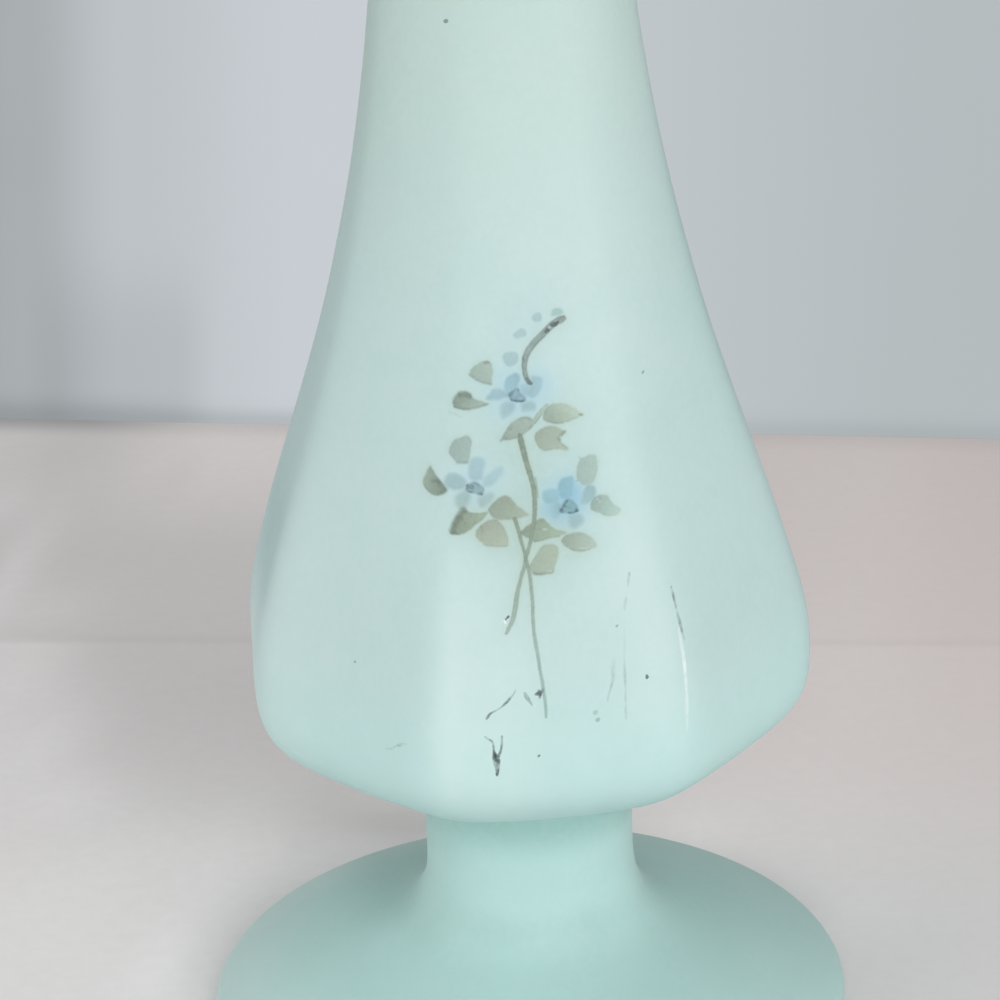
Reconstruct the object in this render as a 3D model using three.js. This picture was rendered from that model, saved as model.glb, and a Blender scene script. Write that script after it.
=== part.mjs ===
// Bud vase of satin aqua glass: an eight-panelled blown body with a long neck, a solid stem with a domed
// foot under it, and a sprig of small flowers painted in raised enamel on the front panel.
// Millimetres, +Z up. Origin at the middle of the foot's underside; the painted panel faces -Y.
import * as THREE from 'three';

// ---------------------------------------------------------------- driving dimensions (mm)
const TOTAL_HEIGHT = 200;          // lip above the table
const FOOT_RADIUS = 40;            // widest radius of the foot
const STEM_RADIUS = 12.85;         // straight part of the stem
const STEM_TOP = 33.3;             // height of the face that the body is fused to
const JOIN_GAP = 0.3;              // clearance left at the fused joint
const BODY_BOTTOM = STEM_TOP + JOIN_GAP;
const BELLY_RADIUS = 35.15;        // widest radius of the body, over the ridges
const BODY_OFFSET = 1.0;           // the hand-joined body stands this far to +X of the foot's middle
const STEM_OFFSET = 0.7;           // and the stem this far
const SPRIG_OFFSET = 0.5;          // place of the painted sprig along X
const PANELS = 8;                  // flat panels round the body
const RIDGE_SHARPNESS = 30;        // larger makes the ridges between the panels sharper
const RECESS_RADIUS = 34.5;        // hollow under the foot
const RECESS_DEPTH = 8.5;
const SEGMENTS = 64;               // steps round the body, 8 to a panel
const FOOT_SEGMENTS = 48;

// outside of the body: height, radius over the ridges, and how flat the panels are (0 round, 1 flat)
const BODY_OUTSIDE = [
  [BODY_BOTTOM, 12.85, 0.41], [34.8, 16.95, 0.50], [36.9, 22.2, 0.66], [40.3, 29.05, 0.76], [42.5, 31.95, 0.80],
  [45.1, 34.0, 0.87], [48.1, 34.95, 0.94], [51.0, BELLY_RADIUS, 0.99], [54.4, 35.05, 1.0], [58.0, 34.5, 1.0],
  [64.0, 32.85, 0.94], [70.5, 30.8, 0.85], [77.5, 28.4, 0.77], [85.0, 25.85, 0.68], [93.0, 23.3, 0.59],
  [101.5, 21.0, 0.48], [111.0, 18.75, 0.38], [121.0, 16.9, 0.30], [132.0, 15.35, 0.23], [144.0, 14.3, 0.18],
  [156.0, 13.8, 0.18], [167.0, 14.0, 0.24], [177.0, 15.05, 0.36], [185.0, 17.0, 0.52], [191.5, 19.5, 0.66],
  [196.5, 22.0, 0.78], [198.6, 23.0, 0.82],
];
// the panels were worked by hand and are uneven: how many degrees each ridge stands off its even place, for the
// ridges at -157.5, -112.5, -67.5 ... 157.5 degrees round from -Y
const RIDGE_SHIFT = [-2.9, -3.9, -4.9, -4.3, 0, 0, -1.0, -2.0];
const LIP = [[199.7, 22.9, 0.82], [TOTAL_HEIGHT, 22.1, 0.82], [199.5, 21.2, 0.80]];
const BODY_INSIDE = [
  [197.4, 20.0, 0.76], [191.5, 17.0, 0.60], [185.0, 14.3, 0.42], [177.0, 12.2, 0.24], [167.0, 10.9, 0.14],
  [156.0, 10.5, 0.10], [144.0, 10.9, 0.10], [132.0, 11.9, 0.14], [121.0, 13.3, 0.20], [111.0, 15.1, 0.26],
  [101.5, 17.2, 0.34], [93.0, 19.4, 0.42], [85.0, 21.8, 0.50], [77.5, 24.2, 0.58], [70.5, 26.5, 0.66],
  [64.0, 28.6, 0.72], [58.0, 30.2, 0.78], [53.5, 30.7, 0.78], [49.6, 29.6, 0.70], [46.4, 26.4, 0.56],
  [44.2, 21.4, 0.36], [42.9, 14.0, 0.18], [42.4, 7.0, 0.05],
];
const CAVITY_FLOOR = 42.3;

// outside of the foot: height and radius
const FOOT_OUTSIDE = [
  [0.7, 39.45], [2.2, FOOT_RADIUS], [3.6, 39.3], [5.2, 37.1], [7.4, 32.5], [9.6, 27.0], [11.0, 22.9], [12.2, 19.6],
  [13.4, 17.2], [14.8, 15.4], [16.4, 14.15], [18.2, 13.35], [20.4, 12.95], [23.0, STEM_RADIUS],
];
const GROUND_RING = [35.4, 38.6];  // inner and outer radius of the flat ring that the vase stands on

// enamel: layers above the glass, so that a later stroke lies over an earlier one
const LAYER_BASE = 0.16;
const LAYER_STEP = 0.34;
const ENAMEL_THICKNESS = 0.22;

// leaf dabs on the panel, in the front view: base x,z, tip x,z, width, widest point along it, form, layer
const LEAVES = {
  leaf_01: [-7.9, 94.1, -5.4, 94.0, 2.4, 0.72, 'fan', 0],
  leaf_02: [-9.9, 90.8, -6.3, 90.5, 1.9, 0.30, 'drop', 0],
  leaf_03: [-4.9, 86.6, -0.9, 88.4, 1.5, 0.50, 'lens', 1],
  leaf_04: [-0.1, 88.9, 4.4, 88.7, 2.0, 0.40, 'lens', 0],
  leaf_05: [-1.2, 86.6, 2.4, 86.0, 2.4, 0.55, 'notched', 0],
  leaf_06: [-10.8, 85.5, -8.4, 85.9, 2.8, 0.70, 'fan', 0],
  leaf_07: [-13.0, 83.4, -11.5, 80.9, 1.9, 0.50, 'lens', 0],
  leaf_08: [-7.1, 79.2, -2.6, 78.5, 2.5, 0.40, 'lens', 1],
  leaf_09: [-11.2, 77.2, -7.1, 78.9, 2.1, 0.30, 'drop', 0],
  leaf_10: [-7.2, 78.1, -6.2, 75.2, 3.1, 0.65, 'fan', 0],
  leaf_11: [5.4, 84.4, 4.5, 81.3, 2.1, 0.55, 'lens', 0],
  leaf_12: [4.8, 79.2, 7.9, 77.7, 1.9, 0.35, 'drop', 0],
  leaf_13: [1.0, 75.7, 4.9, 74.4, 2.3, 0.42, 'lens', 1],
  leaf_14: [-3.3, 76.6, 1.0, 76.3, 2.1, 0.50, 'lens', 0],
  leaf_15: [0.3, 75.1, -2.5, 72.1, 2.5, 0.60, 'fan', 0],
};
// long strokes: points x,z,width along them, and the layer
const STEMS = {
  stem_main: { layer: 2, points: [[-2.75, 87.3, 0.70], [-2.5, 85.6, 0.68], [-2.0, 83.6, 0.60], [-1.55, 81.4, 0.56],
    [-1.6, 79.4, 0.52], [-2.0, 77.3, 0.48], [-2.65, 75.4, 0.44], [-3.35, 73.3, 0.40], [-4.1, 71.0, 0.38],
    [-4.9, 68.7, 0.35], [-5.6, 66.8, 0.30], [-5.9, 65.9, 0.20]] },
  stem_side: { layer: 0, points: [[-4.1, 77.6, 0.50], [-3.8, 76.4, 0.46], [-3.45, 74.6, 0.42], [-3.15, 72.9, 0.40],
    [-2.95, 71.0, 0.38], [-2.9, 68.7, 0.36], [-2.8, 67.0, 0.34], [-2.7, 65.2, 0.32], [-2.6, 62.5, 0.30],
    [-2.45, 59.7, 0.28], [-2.1, 56.3, 0.20]] },
  stem_tip: { layer: 0, points: [[3.0, 99.5, 0.60], [1.8, 98.95, 0.76], [0.55, 97.9, 0.66], [-0.65, 96.7, 0.58],
    [-1.45, 95.4, 0.56], [-1.8, 94.0, 0.52], [-1.35, 92.8, 0.40]] },
};
// flowers: middle x,z, size of the middle, petals as x,z of the petal's middle, width, length
const FLOWERS = {
  flower_upper: { x: -2.8, z: 91.3, c: [1.7, 1.1], layer: 1, petals: [[-3.3, 93.0, 1.8, 2.2], [-5.1, 91.6, 1.2, 2.6], [-0.7, 92.2, 1.5, 2.5], [-3.9, 89.9, 1.3, 1.9], [-1.6, 90.3, 1.3, 1.8]] },
  flower_left: { x: -8.4, z: 81.6, c: [1.8, 1.2], layer: 1, petals: [[-7.9, 83.6, 1.8, 2.9], [-10.3, 82.3, 1.8, 2.8], [-6.2, 82.8, 1.3, 2.8], [-9.5, 80.4, 1.4, 2.0], [-7.2, 80.5, 1.4, 2.0]] },
  flower_right: { x: 2.1, z: 79.1, c: [2.0, 1.5], layer: 2, petals: [[1.9, 81.2, 1.7, 2.6], [0.1, 80.2, 1.6, 2.5], [4.2, 80.0, 1.7, 2.6], [0.5, 78.3, 1.4, 2.0], [3.0, 77.5, 1.6, 2.2]] },
};
const BUDS = { bud_1: [2.35, 101.0, 0.62], bud_2: [0.0, 99.8, 0.56], bud_3: [-2.0, 98.1, 0.62], bud_4: [-3.2, 95.7, 0.80] };

// ---------------------------------------------------------------- materials
const bodyGlass = new THREE.MeshStandardMaterial({ color: 0xc1dcda, roughness: 0.5, metalness: 0 });
const footGlass = new THREE.MeshStandardMaterial({ color: 0xa9d3cd, roughness: 0.5, metalness: 0 });
const leafEnamel = new THREE.MeshStandardMaterial({ color: 0xa6aea0, roughness: 0.6, metalness: 0 });
const stemEnamel = new THREE.MeshStandardMaterial({ color: 0x93968d, roughness: 0.6, metalness: 0 });
const petalEnamel = new THREE.MeshStandardMaterial({ color: 0xa9cbe2, roughness: 0.6, metalness: 0 });
const centreEnamel = new THREE.MeshStandardMaterial({ color: 0x8ba6b1, roughness: 0.6, metalness: 0 });

// ---------------------------------------------------------------- glass
// radius of a round-cornered polygon with PANELS sides, over its corners = 1; a side's middle is at angle 0
const CORNER = 1 / (Math.cos(Math.PI / PANELS) * Math.pow(2, 1 / RIDGE_SHARPNESS));
function panelled(angle) {
  let sum = 0;
  for (let k = 0; k < PANELS; k += 1) {
    const c = Math.cos(angle - (k * 2 * Math.PI) / PANELS);
    if (c > 0) sum += Math.pow(c, RIDGE_SHARPNESS);
  }
  return Math.pow(sum, -1 / RIDGE_SHARPNESS) / CORNER;
}
// the direction in which a point at this even angle stands
function uneven(angle) {
  const q = (THREE.MathUtils.radToDeg(angle) + 157.5) / 45 + PANELS;
  const k = Math.floor(q);
  const w = THREE.MathUtils.smoothstep(q - k, 0, 1);
  return angle + THREE.MathUtils.degToRad(RIDGE_SHIFT[k % PANELS] * (1 - w) + RIDGE_SHIFT[(k + 1) % PANELS] * w);
}
// a lathe whose rings are pressed into panels; the flatness of every ring is looked up by its place in the profile
function panelledLathe(profile, segments, offset, turn) {
  const points = profile.map(([z, r]) => new THREE.Vector2(r, z));
  const lathe = new THREE.LatheGeometry(points, segments);
  const pos = lathe.attributes.position;
  const rings = profile.length;
  for (let s = 0; s <= segments; s += 1) {
    const even = ((s % segments) / segments) * 2 * Math.PI;
    // the steps crowd together at the ridges, where the section bends most
    const angle = even + 0.30 * Math.sin(PANELS * even) / PANELS;
    const g = panelled(angle);
    const way = turn(angle);
    for (let i = 0; i < rings; i += 1) {
      const [z, r, flat] = profile[i];
      const rr = r * (1 - flat + flat * g);
      pos.setXYZ(s * rings + i, rr * Math.sin(way) + offset(z), -rr * Math.cos(way), z);
    }
  }
  return lathe;
}
const bodyProfile = [[BODY_BOTTOM, 0, 0], ...BODY_OUTSIDE, ...LIP, ...BODY_INSIDE, [CAVITY_FLOOR, 0, 0]];
const bodyGeometry = panelledLathe(bodyProfile, SEGMENTS, () => BODY_OFFSET, uneven);

const recess = [];
for (let i = 0; i <= 7; i += 1) {
  const a = (i / 7) * (Math.PI / 2);
  recess.push([RECESS_DEPTH * Math.cos(a), RECESS_RADIUS * Math.sin(a), 0]);
}
const footProfile = [
  ...recess, [0, GROUND_RING[0], 0], [0, GROUND_RING[1], 0],
  ...FOOT_OUTSIDE.map(([z, r]) => [z, r, 0]), [STEM_TOP, STEM_RADIUS, 0], [STEM_TOP, 0, 0],
];
const footGeometry = panelledLathe(footProfile, FOOT_SEGMENTS, (z) => STEM_OFFSET * THREE.MathUtils.clamp((z - 6) / 13, 0, 1), (a) => a);

const body = new THREE.Mesh(bodyGeometry, bodyGlass);
body.name = 'body';
const foot = new THREE.Mesh(footGeometry, footGlass);
foot.name = 'foot';

// ---------------------------------------------------------------- enamel
body.updateMatrixWorld(true);
bodyGlass.side = THREE.DoubleSide;
const ray = new THREE.Raycaster();
// the place on the front of the body seen at x,z from the front, and its outward direction
function onGlass(x, z) {
  const at = (px, pz) => {
    ray.set(new THREE.Vector3(px, -80, pz), new THREE.Vector3(0, 1, 0));
    return ray.intersectObject(body, false)[0].point;
  };
  const p = at(x, z);
  const dx = at(x + 0.8, z).sub(at(x - 0.8, z));
  const dz = at(x, z + 0.8).sub(at(x, z - 0.8));
  return { point: p, normal: dx.cross(dz).normalize() };
}
// a flat outline, filled and thickened, then bent on to the glass; edges are split so that it follows the glass
function enamel(name, outline, layer, material) {
  const shape = new THREE.Shape(outline.map(([x, z]) => new THREE.Vector2(x, z)));
  const geometry = new THREE.ExtrudeGeometry(shape, { depth: 1, bevelEnabled: false, steps: 1, curveSegments: 1 });
  geometry.deleteAttribute('uv');
  const pos = geometry.attributes.position;
  for (let i = 0; i < pos.count; i += 1) {
    const { point, normal } = onGlass(pos.getX(i) + SPRIG_OFFSET, pos.getY(i));
    const lift = LAYER_BASE + layer * LAYER_STEP + pos.getZ(i) * ENAMEL_THICKNESS;
    point.addScaledVector(normal, lift);
    pos.setXYZ(i, point.x, point.y, point.z);
  }
  geometry.computeVertexNormals();
  const mesh = new THREE.Mesh(geometry, material);
  mesh.name = name;
  return mesh;
}
// outline of a leaf dab from its base to its tip
function leafOutline(x0, z0, x1, z1, width, widest, form) {
  const along = new THREE.Vector2(x1 - x0, z1 - z0);
  const length = along.length();
  along.normalize();
  const across = new THREE.Vector2(-along.y, along.x);
  const half = (t) => {
    const rise = Math.sin((Math.PI / 2) * Math.min(1, t / widest));
    const fall = t > widest ? Math.cos((Math.PI / 2) * ((t - widest) / (1 - widest))) : 1;
    const blunt = { fan: [0.9, 0.45], drop: [0.6, 1.3], lens: [0.9, 0.9], notched: [0.6, 0.35] }[form];
    return (width / 2) * Math.pow(rise, blunt[0]) * Math.pow(fall, blunt[1]);
  };
  const n = 7;
  const out = [];
  const put = (t, side) => {
    const s = t * length;
    const h = side * half(t);
    out.push([x0 + along.x * s + across.x * h, z0 + along.y * s + across.y * h]);
  };
  for (let i = 0; i < n; i += 1) put(i / n, -1);
  if (form === 'notched') {
    put(0.97, -1);
    put(0.80, 0);
    put(0.97, 1);
  } else put(1, 0);
  for (let i = n - 1; i > 0; i -= 1) put(i / n, 1);
  return out;
}
function strokeOutline(points) {
  const path = new THREE.CatmullRomCurve3(points.map(([x, z, w]) => new THREE.Vector3(x, z, w)));
  const n = points.length * 2 - 2;
  const left = [];
  const right = [];
  for (let i = 0; i <= n; i += 1) {
    const p = path.getPoint(i / n);
    const t = path.getTangent(i / n);
    const across = new THREE.Vector2(-t.y, t.x).normalize().multiplyScalar(p.z / 2);
    left.push([p.x + across.x, p.y + across.y]);
    right.push([p.x - across.x, p.y - across.y]);
  }
  return [...right, ...left.reverse()];
}
// outline round a flower's middle: every direction reaches as far as the petal that lies there
function flowerOutline({ x, z, petals }) {
  const out = [];
  const n = 40;
  for (let i = 0; i < n; i += 1) {
    const a = (i / n) * 2 * Math.PI;
    let reach = 0.62;
    for (const [px, pz, width, length] of petals) {
      const dir = Math.atan2(pz - z, px - x);
      const far = Math.hypot(px - x, pz - z) + length * 0.42;
      const off = Math.atan2(Math.sin(a - dir), Math.cos(a - dir));
      const spread = Math.atan2(width * 0.62, far * 0.62);
      if (Math.abs(off) < spread) reach = Math.max(reach, far * Math.pow(Math.cos((off / spread) * (Math.PI / 2)), 0.45));
    }
    out.push([x + reach * Math.cos(a), z + reach * Math.sin(a)]);
  }
  return out;
}
function ovalOutline(x, z, w, h, n = 10, ripple = 0) {
  const out = [];
  for (let i = 0; i < n; i += 1) {
    const a = (i / n) * 2 * Math.PI;
    const k = 1 + ripple * Math.cos(3 * a + x);
    out.push([x + (w / 2) * k * Math.cos(a), z + (h / 2) * k * Math.sin(a)]);
  }
  return out;
}

// ---------------------------------------------------------------- assembly
const vase = new THREE.Group();
vase.name = 'bud_vase';
vase.add(body, foot);
for (const [name, s] of Object.entries(STEMS)) vase.add(enamel(name, strokeOutline(s.points), s.layer, stemEnamel));
for (const [name, l] of Object.entries(LEAVES)) vase.add(enamel(name, leafOutline(...l.slice(0, 7)), l[7], leafEnamel));
for (const [name, f] of Object.entries(FLOWERS)) {
  vase.add(enamel(`${name}_petals`, flowerOutline(f), f.layer, petalEnamel));
  vase.add(enamel(`${name}_centre`, ovalOutline(f.x, f.z, f.c[0], f.c[1], 12, 0.12), f.layer + 1, centreEnamel));
}
for (const [name, [x, z, r]] of Object.entries(BUDS)) vase.add(enamel(name, ovalOutline(x, z, 2 * r, 1.8 * r, 10, 0.05), 0, petalEnamel));

export default vase;
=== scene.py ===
import math

import bmesh
import bpy
import numpy as np
from mathutils import Matrix, Vector
from mathutils.bvhtree import BVHTree
from mathutils.geometry import delaunay_2d_cdt


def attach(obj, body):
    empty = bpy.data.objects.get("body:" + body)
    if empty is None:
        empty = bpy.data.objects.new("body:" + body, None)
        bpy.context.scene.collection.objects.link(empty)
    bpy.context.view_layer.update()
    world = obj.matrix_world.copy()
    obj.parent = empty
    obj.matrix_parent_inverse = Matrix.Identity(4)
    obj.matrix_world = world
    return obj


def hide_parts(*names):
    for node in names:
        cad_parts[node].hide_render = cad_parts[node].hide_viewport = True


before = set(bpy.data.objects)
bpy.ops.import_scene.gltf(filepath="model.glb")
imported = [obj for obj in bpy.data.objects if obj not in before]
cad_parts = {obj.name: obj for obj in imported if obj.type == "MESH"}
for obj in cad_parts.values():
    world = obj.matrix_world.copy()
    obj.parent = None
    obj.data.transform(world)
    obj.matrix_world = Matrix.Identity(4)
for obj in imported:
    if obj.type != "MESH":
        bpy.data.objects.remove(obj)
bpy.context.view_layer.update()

MM = 0.001


# ------------------------------------------------------------------ helpers
def spline(rows, count, closed_smooth=6):
    """A smooth curve through rows of numbers, spaced by chord length, sampled evenly."""
    p = np.array(rows, float)
    d = np.hypot(np.diff(p[:, 0]), np.diff(p[:, 1]))
    t = np.concatenate([[0.0], np.cumsum(d)])
    n = len(t)
    h = np.diff(t)
    out = []
    tt = np.linspace(0.0, t[-1], count)
    k = np.clip(np.searchsorted(t, tt, side="right") - 1, 0, n - 2)
    for c in range(p.shape[1]):
        y = p[:, c]
        s = np.diff(y) / h
        m = np.zeros(n)
        m[0], m[-1] = s[0], s[-1]
        for i in range(1, n - 1):
            m[i] = (h[i] * s[i - 1] + h[i - 1] * s[i]) / (h[i] + h[i - 1])
        u = (tt - t[k]) / h[k]
        a = (1 + 2 * u) * (1 - u) ** 2
        b = u * (1 - u) ** 2
        e = u * u * (3 - 2 * u)
        f = u * u * (u - 1)
        out.append(a * y[k] + b * h[k] * m[k] + e * y[k + 1] + f * h[k] * m[k + 1])
    q = np.stack(out, 1)
    for _ in range(closed_smooth):
        q[1:-1] = 0.25 * q[:-2] + 0.5 * q[1:-1] + 0.25 * q[2:]
    return q


def smoothstep(value, a, b):
    t = np.clip((value - a) / (b - a), 0.0, 1.0)
    return t * t * (3 - 2 * t)


def link(name, verts, faces, material, attrs=None, colours=None, smooth=True):
    mesh = bpy.data.meshes.new(name)
    mesh.from_pydata([tuple(v) for v in verts], [], faces)
    mesh.validate(verbose=False)
    mesh.update()
    obj = bpy.data.objects.new(name, mesh)
    bpy.context.scene.collection.objects.link(obj)
    mesh.materials.append(material)
    for key, values in (attrs or {}).items():
        layer = mesh.attributes.new(key, "FLOAT", "POINT")
        layer.data.foreach_set("value", np.asarray(values, np.float32).ravel())
    for key, values in (colours or {}).items():
        layer = mesh.attributes.new(key, "FLOAT_COLOR", "POINT")
        rgba = np.ones((len(values), 4), np.float32)
        rgba[:, :3] = values
        layer.data.foreach_set("color", rgba.ravel())
    if smooth:
        mesh.polygons.foreach_set("use_smooth", [True] * len(mesh.polygons))
    return obj


def lin(r, g, b):
    out = []
    for v in (r, g, b):
        v /= 255.0
        out.append(v / 12.92 if v <= 0.04045 else ((v + 0.055) / 1.055) ** 2.4)
    return (*out, 1.0)


class Nodes:
    """Short calls that add and join shader nodes in one material."""

    def __init__(self, name):
        self.mat = bpy.data.materials.new(name)
        self.mat.use_nodes = True
        self.t = self.mat.node_tree
        self.t.nodes.clear()
        self.out = self.t.nodes.new("ShaderNodeOutputMaterial")
        self.p = self.t.nodes.new("ShaderNodeBsdfPrincipled")
        self.t.links.new(self.p.outputs["BSDF"], self.out.inputs["Surface"])

    def wire(self, a, b):
        self.t.links.new(a, b)

    def attr(self, name, kind="Fac"):
        n = self.t.nodes.new("ShaderNodeAttribute")
        n.attribute_name = name
        return n.outputs[kind]

    def coords(self, scale=(1, 1, 1)):
        c = self.t.nodes.new("ShaderNodeTexCoord")
        m = self.t.nodes.new("ShaderNodeMapping")
        m.inputs["Scale"].default_value = scale
        self.wire(c.outputs["Object"], m.inputs["Vector"])
        return m.outputs["Vector"]

    def dot(self, vector, way):
        n = self.t.nodes.new("ShaderNodeVectorMath")
        n.operation = "DOT_PRODUCT"
        self.wire(vector, n.inputs[0])
        n.inputs[1].default_value = tuple(way)
        return n.outputs["Value"]

    def noise(self, vector, scale, detail=3.0, rough=0.55, distort=0.0):
        n = self.t.nodes.new("ShaderNodeTexNoise")
        n.inputs["Scale"].default_value = scale
        n.inputs["Detail"].default_value = detail
        n.inputs["Roughness"].default_value = rough
        n.inputs["Distortion"].default_value = distort
        self.wire(vector, n.inputs["Vector"])
        return n.outputs["Fac"]

    def remap(self, value, a, b, c, d, smooth=False):
        n = self.t.nodes.new("ShaderNodeMapRange")
        n.interpolation_type = "SMOOTHSTEP" if smooth else "LINEAR"
        n.clamp = True
        for key, v in (("From Min", a), ("From Max", b), ("To Min", c), ("To Max", d)):
            n.inputs[key].default_value = v
        self.wire(value, n.inputs["Value"])
        return n.outputs["Result"]

    def math(self, op, a, b):
        n = self.t.nodes.new("ShaderNodeMath")
        n.operation = op
        n.use_clamp = op in ("MULTIPLY", "ADD", "SUBTRACT")
        for i, v in enumerate((a, b)):
            if isinstance(v, (int, float)):
                n.inputs[i].default_value = v
            else:
                self.wire(v, n.inputs[i])
        return n.outputs["Value"]

    def plain(self, op, a, b):
        out = self.math(op, a, b)
        out.node.use_clamp = False
        return out

    def mix(self, fac, a, b, blend="MIX"):
        n = self.t.nodes.new("ShaderNodeMix")
        n.data_type = "RGBA"
        n.blend_type = blend
        n.clamp_factor = True
        sockets = {s.identifier: s for s in n.inputs}
        for key, v in (("Factor_Float", fac), ("A_Color", a), ("B_Color", b)):
            if isinstance(v, (int, float, tuple)):
                sockets[key].default_value = v
            else:
                self.wire(v, sockets[key])
        return next(s for s in n.outputs if s.identifier == "Result_Color")

    def ramp(self, fac, stops):
        n = self.t.nodes.new("ShaderNodeValToRGB")
        n.color_ramp.interpolation = "EASE"
        cells = n.color_ramp.elements
        cells[0].position, cells[0].color = stops[0]
        cells[1].position, cells[1].color = stops[-1]
        for place_, colour in stops[1:-1]:
            cell = cells.new(place_)
            cell.color = colour
        self.wire(fac, n.inputs["Fac"])
        return n.outputs["Color"]

    def bump(self, height, strength, distance, normal=None):
        n = self.t.nodes.new("ShaderNodeBump")
        n.inputs["Strength"].default_value = strength
        n.inputs["Distance"].default_value = distance
        self.wire(height, n.inputs["Height"])
        if normal is not None:
            self.wire(normal, n.inputs["Normal"])
        return n.outputs["Normal"]

    def set(self, **values):
        for key, v in values.items():
            self.p.inputs[key.replace("_", " ")].default_value = v


# ------------------------------------------------------------------ camera (placed first; image taken as 1000 x 1000)
CAM = dict(D=461.5, e=24.18, az=-8.5, roll=2.23, f=3796.0, ax=-1.40, up=10.47, zt=57.7)


def camera_axes():
    e, az, roll = (math.radians(CAM[k]) for k in ("e", "az", "roll"))
    back = Vector((math.sin(az) * math.cos(e), -math.cos(az) * math.cos(e), math.sin(e)))
    target = Vector((0, 0, CAM["zt"]))
    place = target + CAM["D"] * back
    ahead = -back
    right = ahead.cross(Vector((0, 0, 1))).normalized()
    up = right.cross(ahead)
    aim = target + right * CAM["ax"] + up * CAM["up"]
    ahead = (aim - place).normalized()
    right = ahead.cross(Vector((0, 0, 1))).normalized()
    up = right.cross(ahead)
    c, s = math.cos(roll), math.sin(roll)
    return place, c * right - s * up, s * right + c * up, ahead


place, cam_right, cam_up, cam_ahead = camera_axes()
cam_data = bpy.data.cameras.new("camera")
cam_data.sensor_width = 36.0
cam_data.lens = CAM["f"] / 1000.0 * 36.0
cam_data.clip_start = 0.01
cam = bpy.data.objects.new("camera", cam_data)
bpy.context.scene.collection.objects.link(cam)
rot = Matrix((cam_right, cam_up, -cam_ahead)).transposed()
cam.matrix_world = Matrix.Translation(place * MM) @ rot.to_4x4()
bpy.context.scene.camera = cam


def sight(px, py):
    """The direction in which a pixel of the 1000 x 1000 picture looks."""
    return (cam_ahead + (px - 500.0) / CAM["f"] * cam_right + (500.0 - py) / CAM["f"] * cam_up).normalized()


def on_table(px, py):
    """The point of the table top seen at a pixel, in millimetres."""
    d = sight(px, py)
    return place + d * (-place.z / d.z)


# ------------------------------------------------------------------ shape of the glass (mm), as the CAD has it
PANELS = 8
SHARP = 30.0
BODY_OFFSET = 1.0
STEM_OFFSET = 0.7
BODY_OUTSIDE = [
    (33.6, 12.85, 0.41), (34.8, 16.95, 0.50), (36.9, 22.2, 0.66), (40.3, 29.05, 0.76), (42.5, 31.95, 0.80),
    (45.1, 34.0, 0.87), (48.1, 34.95, 0.94), (51.0, 35.15, 0.99), (54.4, 35.05, 1.0), (58.0, 34.5, 1.0),
    (64.0, 32.85, 0.94), (70.5, 30.8, 0.85), (77.5, 28.4, 0.77), (85.0, 25.85, 0.68), (93.0, 23.3, 0.59),
    (101.5, 21.0, 0.48), (111.0, 18.75, 0.38), (121.0, 16.9, 0.30), (132.0, 15.35, 0.23), (144.0, 14.3, 0.18),
    (156.0, 13.8, 0.18), (167.0, 14.0, 0.24), (177.0, 15.05, 0.36), (185.0, 17.0, 0.52), (191.5, 19.5, 0.66),
    (196.5, 22.0, 0.78), (198.6, 23.0, 0.82),
]
# how many degrees each ridge stands off its even place, for the ridges at -157.5, -112.5 ... 157.5 degrees from -Y
RIDGE_SHIFT = np.array([-2.9, -3.9, -4.9, -4.3, 0.0, 0.0, -1.0, -2.0])
LIP = [(199.7, 22.9, 0.82), (200.0, 22.1, 0.82), (199.5, 21.2, 0.80)]
BODY_INSIDE = [
    (197.4, 20.0, 0.76), (191.5, 17.0, 0.60), (185.0, 14.3, 0.42), (177.0, 12.2, 0.24), (167.0, 10.9, 0.14),
    (156.0, 10.5, 0.10), (144.0, 10.9, 0.10), (132.0, 11.9, 0.14), (121.0, 13.3, 0.20), (111.0, 15.1, 0.26),
    (101.5, 17.2, 0.34), (93.0, 19.4, 0.42), (85.0, 21.8, 0.50), (77.5, 24.2, 0.58), (70.5, 26.5, 0.66),
    (64.0, 28.6, 0.72), (58.0, 30.2, 0.78), (53.5, 30.7, 0.78), (49.6, 29.6, 0.70), (46.4, 26.4, 0.56),
    (44.2, 21.4, 0.36), (42.9, 14.0, 0.18), (42.4, 7.0, 0.05), (42.3, 0.4, 0.0),
]
FOOT_PROFILE = [
    (34.3, 0.4), (34.3, 9.0), (34.2, 12.3), (33.4, 12.85), (30.0, 12.85), (26.5, 12.85), (23.0, 12.85), (20.4, 12.95),
    (18.2, 13.35), (16.4, 14.15), (14.8, 15.4), (13.4, 17.2), (12.2, 19.6), (11.0, 22.9), (9.6, 27.0), (7.4, 32.5),
    (5.2, 37.1), (3.6, 39.3), (2.2, 39.98), (0.9, 39.6), (0.1, 38.7), (0.0, 38.2), (0.0, 37.0), (0.0, 35.8),
    (0.35, 35.1), (1.9, 33.7), (3.7, 31.0), (5.3, 27.0), (6.7, 21.5), (7.7, 14.8), (8.3, 7.4), (8.5, 0.4),
]
CORNER = 1.0 / (math.cos(math.pi / PANELS) * 2.0 ** (1.0 / SHARP))
STEP = 2 * math.pi / PANELS


def panelled(angle):
    total = np.zeros_like(angle)
    for k in range(PANELS):
        c = np.cos(angle - k * STEP)
        total += np.clip(c, 0, None) ** SHARP
    return total ** (-1.0 / SHARP) / CORNER


def shift(angle):
    q = (np.degrees(angle) + 157.5) / 45.0 + PANELS
    k = np.floor(q).astype(int)
    w = q - k
    w = w * w * (3 - 2 * w)
    return np.radians(RIDGE_SHIFT[k % PANELS] * (1 - w) + RIDGE_SHIFT[(k + 1) % PANELS] * w)


def uneven(angle):
    """The direction in which a point at this even angle stands."""
    return angle + shift(angle)


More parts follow.
